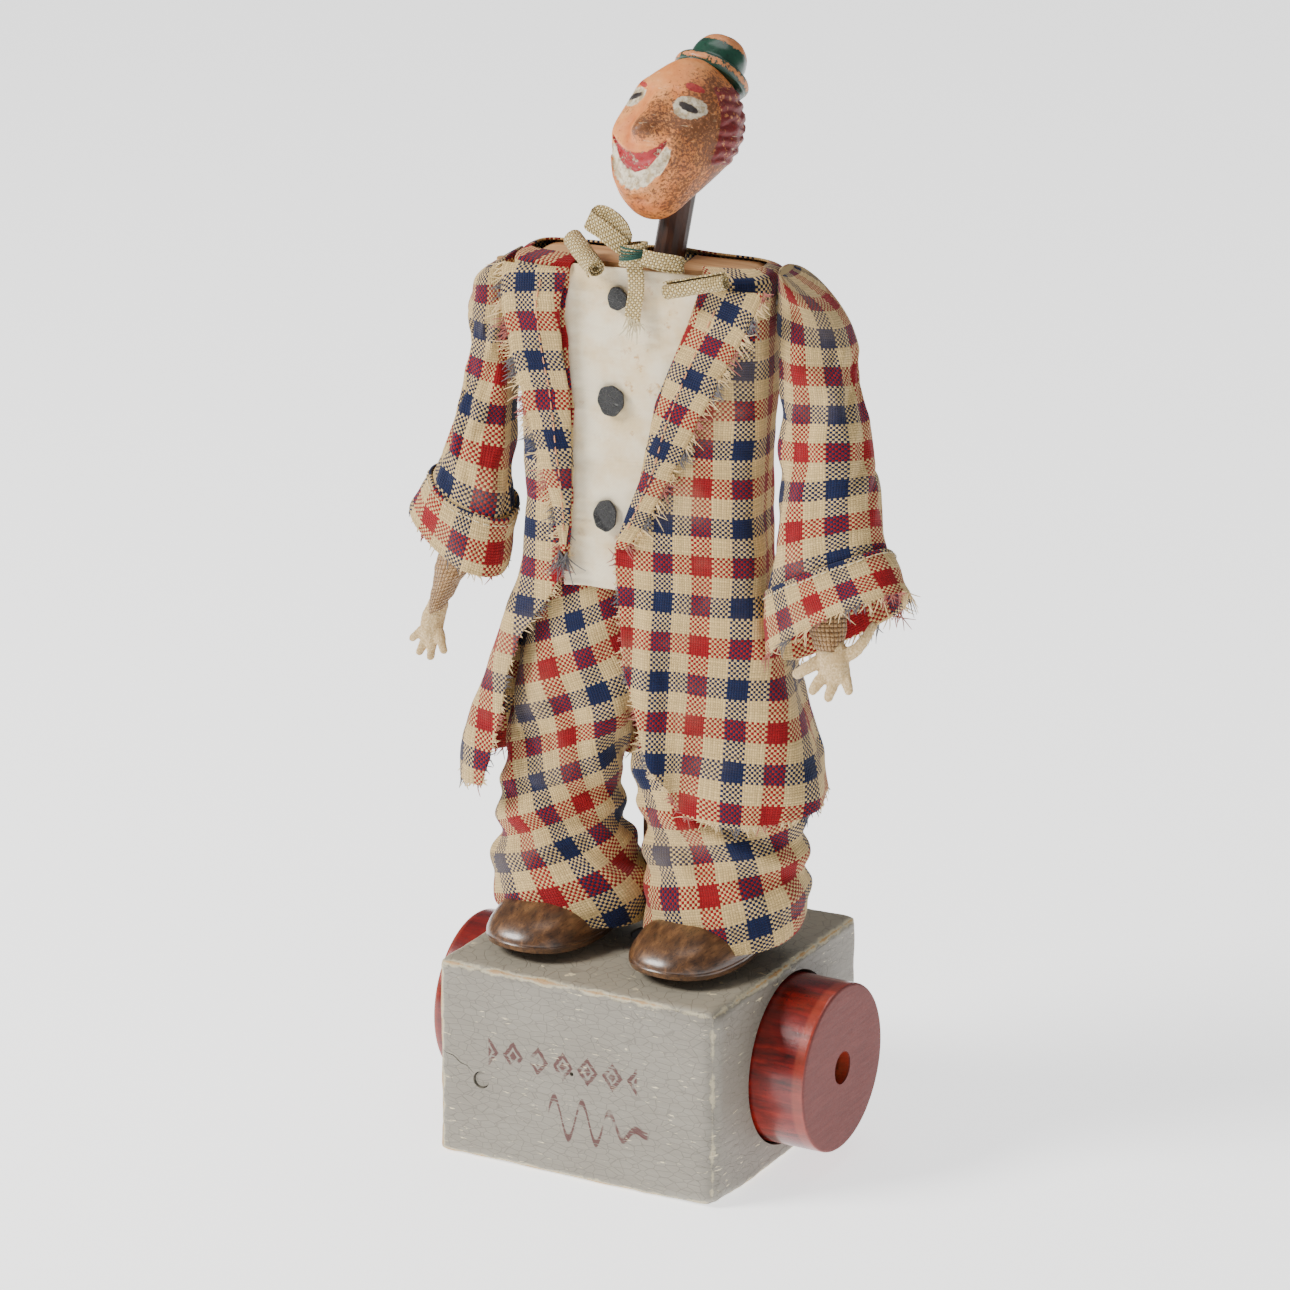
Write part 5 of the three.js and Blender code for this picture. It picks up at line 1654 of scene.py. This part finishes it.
WRISTS = {
    "left": [[0, -48.0, -3.0, 160, 5.6, 0, 0, 0, 4.6, 0], [7, -49.4, -4.0, 153, 6.0, 0, 0.8, 0, 5.0, 0],
             [15, -52.6, -5.2, 144.5, 4.3, 0, 1.8, 0, 4.2, 0.6],
             [22, -55.4, -6.2, 137.2, 2.7, 0, 1.2, 0, 2.7, 0.4]],
    "right": [[0, 49.8, -9.4, 160, 5.0, 0, 0, 0, 4.8, 0], [8, 50.8, -11.0, 152, 5.2, 0, 0.6, 0, 4.8, -1],
              [14, 52.0, -13.0, 146.6, 4.8, 0, 0.4, 0, 4.2, -1],
              [19, 53.2, -14.6, 142.6, 3.9, 0, 0, 0, 3.0, 0]],
}
HANDS = {
    "left": {
        "beads": [
            [[-55.0, -6.2, 138.5, 2.7], [-56.2, -6.8, 134.6, 3.2], [-56.6, -7.4, 131.6, 3.0]],
            [[-57.8, -7.2, 132.2, 1.6], [-59.8, -7.8, 130.6, 1.25], [-61.4, -8.2, 129.2, 1.05]],
            [[-57.2, -7.4, 130.6, 1.6], [-58.6, -8.0, 127.6, 1.3], [-59.4, -8.4, 125.8, 1.1]],
            [[-55.8, -7.6, 130.6, 1.6], [-56.2, -8.4, 127.2, 1.3], [-56.2, -8.8, 125.0, 1.1]],
            [[-54.2, -7.6, 131.2, 1.5], [-53.2, -8.6, 128.6, 1.25], [-52.4, -9.2, 127.2, 1.05]],
        ],
        "normal": (0.35, -1, 0.1),
    },
    "right": {
        "beads": [
            [[52.6, -13.8, 144.5, 3.8], [54.2, -14.8, 140.4, 4.6], [55.0, -15.4, 137.6, 4.2]],
            [[56.8, -15.2, 140.6, 2.0], [60.6, -15.2, 143.4, 1.7], [62.8, -14.8, 146.6, 1.45],
             [64.4, -14.2, 149.6, 1.2]],
            [[50.8, -14.8, 139.0, 2.0], [47.4, -15.2, 136.8, 1.7], [44.8, -14.8, 134.8, 1.45]],
            [[52.8, -15.6, 136.6, 1.9], [50.8, -16.6, 133.6, 1.6], [49.6, -16.8, 131.8, 1.35]],
            [[55.2, -16.0, 136.0, 1.9], [54.6, -17.2, 132.8, 1.6], [54.0, -17.6, 130.8, 1.35]],
            [[57.2, -15.8, 137.4, 1.9], [58.6, -17.0, 134.8, 1.6], [59.2, -17.4, 133.2, 1.35]],
        ],
        "normal": (-0.3, -1, 0.25),
    },
}


def make_hands():
    """Felt mitts with short blunt fingers on stuffed stockinette wrists."""
    for side in ("left", "right"):
        body = f"{side}_arm"
        rows, columns = 60, 56
        points = ring_points(WRISTS[side], rows, columns, 2.0)
        points = push(points, -0.35 * ripple(points, 4.6, 17))
        cone = grid(f"{side}_wrist", points, tube_flat(points), closed=True, flip=True)
        with opened(cone) as mesh:
            mesh.faces.new(mesh.verts[:columns])
            mesh.faces.new(mesh.verts[-columns:][::-1])
            faces_outward(mesh)
        finish_piece(cone, KNIT, body, [f"{side}_forearm"])
        hand = HANDS[side]
        mitt = blobs(f"{side}_mitt", hand["beads"], hand["normal"])
        finish_piece(mitt, FELT, body, [f"{side}_hand"])


# ---- Head ---------------------------------------------------------------------------------------


def turned(axis, degrees):
    return Matrix.Rotation(math.radians(degrees), 4, axis)


NECK = FIGURE @ Matrix.Translation((3.7, 0.2, 226.5)) @ turned("X", -12) @ turned("Y", 6)
HEAD_TURN = -16
HEAD_FORWARD = turned("Z", HEAD_TURN) @ Vector((0, -3.2, 0))
HEAD = (
    NECK @ Matrix.Translation((HEAD_FORWARD.x, HEAD_FORWARD.y, 36.8)) @ turned("Z", HEAD_TURN)
    @ turned("X", 1) @ turned("Y", -6)
)
HAT = NECK @ Matrix.Translation((-0.4, 8.2, 51.6)) @ turned("X", -32) @ turned("Y", 6)


def smooth_step(value, low, high):
    t = rise(value, low, high)
    return t * t * (3 - 2 * t)


def skull():
    """The head before it is carved: the object, its points in millimetres, and the same points on a ball."""
    mesh = bmesh.new()
    bmesh.ops.create_cube(mesh, size=2)
    bmesh.ops.subdivide_edges(mesh, edges=mesh.edges[:], cuts=92, use_grid_fill=True)
    ball = np.array([v.co for v in mesh.verts])
    ball = np.tan(ball * math.pi / 4 * 0.98)
    ball /= np.linalg.norm(ball, axis=1)[:, None]
    made = built("painted_head", mesh)
    h = ball[:, 2]
    width = smooth_track([[-1, 0.98], [-0.75, 0.90], [-0.3, 0.97], [0.25, 1.02], [0.7, 1], [1, 0.9]], h)
    square = (np.abs(ball[:, 0]) ** 2.7 + np.abs(ball[:, 1]) ** 2.7 + 1e-9) ** (-1 / 2.7)
    square *= np.hypot(ball[:, 0], ball[:, 1])
    front = smooth_step(-ball[:, 1], 0.0, 0.3) * smooth_step(h, -1.0, -0.7)
    front *= 1 - smooth_step(h, 0.55, 0.95)
    fuller = 1 + (square - 1) * front
    back = smooth_track([[-1, 0.2], [-0.7, 0.45], [-0.2, 0.9], [0.3, 1.05], [1, 0.95]], h)
    face = smooth_track([[-1, 0.78], [-0.7, 0.9], [-0.2, 1], [0.4, 0.98], [1, 0.9]], h)
    x = ball[:, 0] * 13.6 * width * fuller - 1.0 * front * smooth_step(-ball[:, 0], 0.3, 0.8)
    y = ball[:, 1] * np.where(ball[:, 1] > 0, 16 * back, 15.5 * face) * (1 + (fuller - 1) * 0.6)
    y += smooth_track([[-1, -6.5], [-0.5, -3.6], [0.1, 0], [1, 1.5]], h)
    return made, np.stack([x, y, h * 20], 1), ball


def oval(x, z, centre, size, turn=0.0):
    """A field over the face that is below 1 inside an oval turned by some degrees."""
    a = math.radians(turn)
    dx, dz = x - centre[0], z - centre[1]
    u = dx * math.cos(a) + dz * math.sin(a)
    v = -dx * math.sin(a) + dz * math.cos(a)
    return np.sqrt((u / size[0]) ** 2 + (v / size[1]) ** 2)


EYES = {"right": ((8.3, 8.3), (3.9, 2.7), -24), "left": ((-8.4, 9.6), (4.6, 2.5), 16)}
BROWS = {"right": ((7.8, 13.2), (2.3, 0.75), -26), "left": ((-6.6, 13.0), (2.4, 0.7), -12)}
MOUTH_TOP = [[-10.6, 0.2], [-8, -1.6], [-4.5, -3.2], [-1, -3.6], [2.2, -3.0], [4.6, -1.6], [7.0, 0.4]]
MOUTH_LOW = [[-10.6, -1.2], [-8, -5.2], [-4.5, -7.6], [-1, -8.4], [2.2, -7.2], [4.6, -4.2], [7.0, -0.8]]
WHITE_TOP = [[-11.4, -2.4], [-10, -2.0], [-4, -4.6], [0, -4.6], [5, -2.6], [7.2, -1.4], [8.1, -2.2]]
WHITE_LOW = [[-11.4, -4.4], [-9.4, -8.6], [-5.5, -11.9], [-1.2, -12.9], [3, -11.6], [6.2, -8.2], [8.1, -4.0]]
# Height, how far the nose stands out, and its half-width.
NOSE = [[-1.4, 0, 3.4], [0.2, 2.0, 3.8], [1.8, 4.9, 4.0], [3.6, 5.2, 3.8], [6, 3.5, 3.1], [9, 1.6, 2.4],
        [12.5, 0, 2.2]]
NOSE_X = 1.2
CHIN_LEFT = 2.2  # how far the carver let the chin drift to one side


def bump_at(x, z, centre, size, turn=0.0):
    """A soft bump on the face, 1 at its centre."""
    return hill(oval(x, z, centre, size, turn))


def make_head():
    """The carved head: round nose, raised brows, a wide painted smile, all worn and grimy, with painted
    shade on its right side.
    """
    made, points, ball = skull()
    x, y, z = points.T
    front = smooth_step(-ball[:, 1], 0.05, 0.45)
    rows = np.array(NOSE, float)
    stand = smooth_track(rows[:, :2], z)
    broad = smooth_track(rows[:, [0, 2]], z)
    nose = stand * np.exp(-np.abs((x - NOSE_X) / broad) ** 2.4)
    muzzle = bump_at(x, z, (-0.6, -1.4), (6.0, 2.6))
    brow = bump_at(x, z, (7.6, 12.9), (4.2, 1.6), -28) + bump_at(x, z, (-6.8, 13.2), (4.6, 1.6), 8)
    cheek = bump_at(x, z, (8.6, 1.4), (3.6, 3.4)) + bump_at(x, z, (-11, 1.6), (3.4, 3.6))
    sockets = sum(np.exp(-(oval(x, z, centre, (size[0] * 1.1, size[1] * 1.2), turn) ** 2) * 1.2)
                  for centre, size, turn in EYES.values())
    lids = sum(np.exp(-(oval(x, z, centre, (size[0] * 0.72, size[1] * 0.66), turn) ** 2) * 1.6)
               for centre, size, turn in EYES.values())
    top, low = track(MOUTH_TOP, x), track(MOUTH_LOW, x)
    inside = smooth_step(np.minimum(top - z, z - low), -0.5, 0.9) * (x > -10.8) * (x < 7.2)
    white_top, white_low = track(WHITE_TOP, x), track(WHITE_LOW, x)
    around = smooth_step(np.minimum(white_top - z, z - white_low), -0.5, 0.8) * (x > -11.4) * (x < 8.1)
    rim = hill((z - white_low + 1.0) / 1.1) * (x > -11.4) * (x < 8.4)
    rim += bump_at(x, z, (9.0, -2.6), (1.2, 4.0))
    crease = bump_at(x, z, (0.0, -14.8), (6.5, 0.9))
    parting = hill((z - (top * 0.55 + low * 0.45)) / 0.5) * inside
    out = nose + 1.3 * muzzle + 0.8 * brow + 1.5 * cheek - 1.5 * sockets + 1.2 * lids
    out += -0.5 * around - 0.7 * inside + 0.8 * rim - 0.5 * crease - 0.4 * parting
    carve = ripple(points, 5.5, 33) * 0.26 + ripple(points, 1.7, 35) * 0.07
    chips = smooth_step(ripple(points, 2.3, 41), 0.42, 0.62) * inside
    points[:, 1] -= (out * front) + carve - 0.35 * chips * front
    ears = bump_at(y, z, (2.0, 1.5), (2.6, 4.4)) * smooth_step(np.abs(ball[:, 0]), 0.7, 0.95)
    points[:, 0] += np.sign(x) * 0.8 * ears
    hair = smooth_step(ball[:, 1], -0.30, -0.16) * smooth_step(z, -6.5, -3.5) * (1 - smooth_step(z, 12, 15))
    locks = np.sin(z * 2.3 + ripple(points, 4.0, 51) * 2.2) * 0.28 * hair
    points += ball * locks[:, None] + ball * (0.5 * hair)[:, None]
    shade_smooth(made)
    mouth = np.minimum(np.minimum(top - z, z - low), np.minimum(x + 10.8, 7.2 - x))
    add_field(made, "mouth", np.where(front > 0.2, mouth, -9))
    white = np.minimum(np.minimum(white_top - z, z - white_low), np.minimum(x + 11.5, 8.2 - x))
    add_field(made, "white", np.where(front > 0.2, white, -9))
    brows = np.maximum(*[1 - oval(x, z, *shape) for shape in BROWS.values()])
    add_field(made, "brows", np.where(front > 0.2, brows, -9))
    eyes = np.maximum(*[1 - oval(x, z, *shape) for shape in EYES.values()])
    add_field(made, "eyes", np.where(front > 0.2, eyes, -9))
    lines = np.maximum(*[1 - oval(x, z, (centre[0], centre[1] + 0.1), (size[0] * 0.8, 0.95), turn)
                         for centre, size, turn in EYES.values()])
    add_field(made, "slits", np.where(front > 0.2, lines, -9))
    add_field(made, "hair", hair)
    # Painted shade: the face's right side darker; it is stored together with the nose's real grime.
    shade = smooth_step(x, 2.0, 9.5) * (1 - smooth_step(z, 17, 20)) * 0.62
    add_field(made, "grime", np.clip(nose / 6.5 * front + shade, 0, 1))
    add_field(made, "crevice", np.clip(sockets - lids + crease + 0.6 * rim, 0, 1) * front)
    layer = made.data.attributes.new("local", "FLOAT_VECTOR", "POINT")
    layer.data.foreach_set("vector", (points * MM).ravel())
    points[:, 0] -= CHIN_LEFT * smooth_step(-z, 4, 18)
    move_to(made, placed(points, HEAD))
    finish_piece(made, painted_face(), "head", ["head"])


def painted_face():
    """Old paint: orange flesh, white round the eyes and mouth, red lips and hair, chipped and grimed, with
    painted shade on the face's right side and darker patches in its hollows.
    """
    look = Look("flesh_paint")
    place = look.attribute("local", "Vector")
    wander = look.noise(place, 900.0, 4.0, 0.6)
    edge = wander * 2.4 - 1.2
    tone = look.noise(place, 130.0, 4.0, 0.6)
    oranges = [(0.3, colour(196, 104, 46)), (0.5, colour(220, 134, 66)), (0.7, colour(232, 156, 92))]
    skin = look.ramp(tone, oranges)
    # cover holds real grime on the nose and in patches, and painted shade on the face's right side.
    cover = look.band(look.noise(place, 90.0, 2.0), 0.42, 0.62) * 0.35 + look.attribute("grime")
    stipple = cover * 0.24 + look.noise(place, 1300.0, 4.0, 0.75)
    grime = look.band(stipple, 0.60, 0.72) * 0.85
    skin = look.mix(look.band(cover, 0.3, 1.1) * 0.35, skin, colour(150, 78, 34))
    skin = look.mix(grime, skin, colour(88, 50, 24))
    stain = look.band(look.noise(place, 500.0, 4.0, 0.65), 0.42, 0.62)
    white = look.mix(stain, colour(222, 210, 184), colour(178, 156, 118))
    red = look.mix(look.noise(place, 420.0, 4.0), colour(132, 8, 20), colour(182, 22, 32))
    mask = look.band(look.attribute("white") + edge, -0.15, 0.25)
    base = look.mix(mask, skin, white)
    eyes = look.band(edge * 0.16 + look.attribute("eyes"), 0.02, 0.12)
    base = look.mix(eyes, base, white)
    brows = look.band(edge * 0.3 + look.attribute("brows"), 0.0, 0.15)
    base = look.mix(brows * 0.92, base, red)
    lips = look.band(look.attribute("mouth") + edge * 0.5, -0.1, 0.2)
    base = look.mix(lips, base, red)
    chips = look.band(look.noise(place, 560.0, 5.0, 0.7), 0.55, 0.60) * 0.95
    chipped = chips * look.math("MAXIMUM", lips, mask * 0.55)
    base = look.mix(chipped, base, look.mix(wander, colour(120, 86, 60), colour(232, 210, 176)))
    slits = look.band(edge * 0.25 + look.attribute("slits"), 0.05, 0.3)
    base = look.mix(slits, base, colour(34, 26, 24))
    strand = look.noise(look.stretch(place, (500.0, 500.0, 1600.0)), 1.0, 4.0, 0.6)
    hair = look.mix(strand, colour(84, 12, 12), colour(140, 26, 22))
    hair = look.mix(look.band(look.noise(place, 620.0, 4.0, 0.7), 0.58, 0.64), hair, colour(206, 128, 74))
    base = look.mix(look.band(edge * 0.2 + look.attribute("hair"), 0.4, 0.55), base, hair)
    # Darker in patches in the eye sockets, the chin crease and along the rim below the white round the
    # mouth.
    darker_in_hollows = look.attribute("crevice") * look.band(wander, 0.3, 0.7)
    base = look.mix(darker_in_hollows * 0.5, base, colour(74, 38, 22))
    scratch = look.noise(look.stretch(place, (300.0, 300.0, 2600.0), (0.4, 0.3, 0.2)), 1.0, 2.0, 0.6)
    pale = look.band(scratch, 0.66, 0.70) * look.band(look.noise(place, 120.0), 0.5, 0.6)
    base = look.mix(pale * 0.7, base, colour(236, 206, 160))
    rough = look.noise(place, 260.0, 3.0) * 0.3 + 0.42
    height = look.noise(place, 640.0, 4.0) * 0.7 - chipped
    height = height - grime * 0.5
    return look.set(
        Base_Color=base, Roughness=rough, Coat_Weight=0.1, Coat_Roughness=0.3,
        Normal=look.bump(height, 0.00034, 0.8),
    )


def green_paint():
    """Dark green enamel, worn to orange wood along its ridges."""
    look = Look("green_paint")
    place = look.place()
    cover = look.noise(place, 260.0, 5.0, 0.65)
    base = look.mix(cover, colour(14, 46, 36), colour(38, 82, 62))
    base = look.mix(look.band(look.noise(place, 900.0, 3.0), 0.56, 0.7) * 0.5, base, colour(12, 24, 20))
    worn = look.band(look.noise(place, 750.0, 5.0, 0.7) * 1.1 + look.attribute("ridge"), 0.98, 1.06)
    bare = look.mix(look.noise(place, 1100.0), colour(176, 96, 44), colour(222, 150, 92))
    base = look.mix(worn, base, bare)
    height = cover * 0.5 - worn
    rough = worn * 0.35 + 0.28
    return look.set(
        Base_Color=base, Roughness=rough, Coat_Weight=0.3, Coat_Roughness=0.18,
        Normal=look.bump(height, 0.00022, 0.6),
    )


def make_hat():
    """A small turned hat: a thick rolled brim under a stubby crown, set on the back of the head."""
    profile = [(0.02, -0.4), (8.4, -0.4), (9.4, 0.1), (9.9, 1.0), (9.7, 2.0), (8.9, 2.8), (7.8, 3.1),
               (7.3, 3.6), (7.2, 4.6), (7.1, 6.2), (6.5, 8.0), (5.5, 9.6), (4.0, 10.8), (2.2, 11.3),
               (0.02, 11.5)]
    t = np.linspace(0, 1, len(profile))
    rows = smooth_track([[a, *p] for a, p in zip(t, profile)], np.linspace(0, 1, 90))
    sides = 120
    angle = turns(sides)
    r, z = rows[:, :1], rows[:, 1:]
    points = np.stack([r * np.cos(angle), r * np.sin(angle), np.broadcast_to(z, (len(z), sides))], 2)
    points *= (1 + 0.018 * ripple(points, 5.0, 19))[..., None]
    flat = np.zeros((len(z), sides + 1, 2))
    made = grid("painted_hat", points, flat, closed=True, matrix=HAT)
    with opened(made) as mesh:
        bmesh.ops.remove_doubles(mesh, verts=mesh.verts, dist=0.00006)
        bmesh.ops.holes_fill(mesh, edges=mesh.edges)
        faces_outward(mesh)
    local = np.array([HAT.inverted() @ (v.co / MM) for v in made.data.vertices])
    radius, height = np.hypot(local[:, 0], local[:, 1]), local[:, 2]
    ridge = hill((radius - 9.7) / 0.9) * hill((height - 1.2) / 1.3)
    ridge = ridge + hill((height - 9.4) / 1.6) * 0.9 + 0.32 * (height > 4)
    add_field(made, "ridge", np.clip(ridge, 0, 1) * 0.62)
    finish_piece(made, green_paint(), "head", ["hat"])


# ---- The frame's own pieces, floor, light and camera ----------------------------------------------


def dress_frame():
    """Better materials on the CAD pieces that stay."""
    looks = [
        (GREY_PAINT, "retaining_peg"),
        (BOARD_WOOD, "chest_board"),
        (DARK_WOOD, "rod_guide_bush follower_foot lift_rod neck_rod"),
        (BARE_WOOD, "roller_axle lift_cam pelvis_block left_arm_stick right_arm_stick"),
        (BARE_WOOD, "left_leg_stick right_leg_stick left_shoe_plug right_shoe_plug"),
        (STEEL, "cam_pin neck_pin left_hip_pin right_hip_pin left_shoulder_screw right_shoulder_screw"),
    ]
    for material, nodes in looks:
        for node in nodes.split():
            for slot in bpy.data.objects[node].material_slots:
                slot.material = material


MID_HEIGHT = 0.13  # metres, where the lamps aim


def make_studio():
    """A wide pale floor, and soft light from the upper left."""
    reach = 3.5  # metres from the middle to each edge
    corners = [(-reach, -reach, 0), (reach, -reach, 0), (reach, reach, 0), (-reach, reach, 0)]
    floor = new_object("studio_floor", corners, [[0, 1, 2, 3]])
    pale = Look("studio_floor").set(
        Base_Color=(0.86, 0.86, 0.86),
        Roughness=0.9,
        Specular_IOR_Level=0.1,
        Emission_Color=(1.0, 1.0, 1.0),
        Emission_Strength=1.5,
    )
    floor.data.materials.append(pale)
    # Name, place and size in metres, power in watts, tint.
    lamps = [
        ("key", (-0.85, -0.80, 1.05), 0.55, 31.0, (1.0, 0.98, 0.95)),
        ("fill", (1.2, -0.9, 0.6), 1.1, 2.2, (0.97, 0.985, 1.0)),
        ("top", (0.0, 0.35, 1.5), 1.2, 7.0, (1.0, 1.0, 1.0)),
    ]
    for name, where, size, power, tint in lamps:
        lamp = bpy.data.lights.new(name, "AREA")
        lamp.shape = "DISK"
        lamp.size = size
        lamp.energy = power
        lamp.color = tint
        made = bpy.data.objects.new(name, lamp)
        made.location = where
        way = Vector((0, 0, MID_HEIGHT)) - Vector(where)
        made.rotation_euler = way.to_track_quat("-Z", "Y").to_euler()
        bpy.context.collection.objects.link(made)
    world = bpy.data.worlds.new("studio")
    world.use_nodes = True
    background = world.node_tree.nodes["Background"]
    background.inputs["Color"].default_value = (0.93, 0.95, 1.0, 1)
    background.inputs["Strength"].default_value = 0.16
    bpy.context.scene.world = world


CAMERA_PLACE = (0.72912, -1.32695, 0.65495)
CAMERA_AIM = (-0.4558, 0.8281, -0.3264)  # the way it looks
CAMERA_LENS = 177.1  # millimetres, on a sensor 36 wide


def make_camera():
    """The photograph's view: from high on the right, far off through a long lens."""
    camera = bpy.data.cameras.new("camera")
    camera.lens = CAMERA_LENS
    camera.sensor_width = 36.0
    camera.clip_start = 0.05
    camera.clip_end = 20.0
    made = bpy.data.objects.new("camera", camera)
    made.location = CAMERA_PLACE
    made.rotation_euler = Vector(CAMERA_AIM).to_track_quat("-Z", "Y").to_euler()
    bpy.context.collection.objects.link(made)
    bpy.context.scene.camera = made


# ---- Everything ---------------------------------------------------------------------------------

make_camera()
make_block()
RED_STAIN = red_stain()
make_roller(-1, 13, RED_STAIN)
make_roller(1, 15, RED_STAIN)
make_shoes()
make_trousers()
make_coat()
for side in ("left", "right"):
    make_lapel(side)
make_shirt()
make_buttons()
for side in ("left", "right"):
    make_sleeve(side)
make_tie()
make_hands()
make_head()
make_hat()
dress_frame()
make_studio()
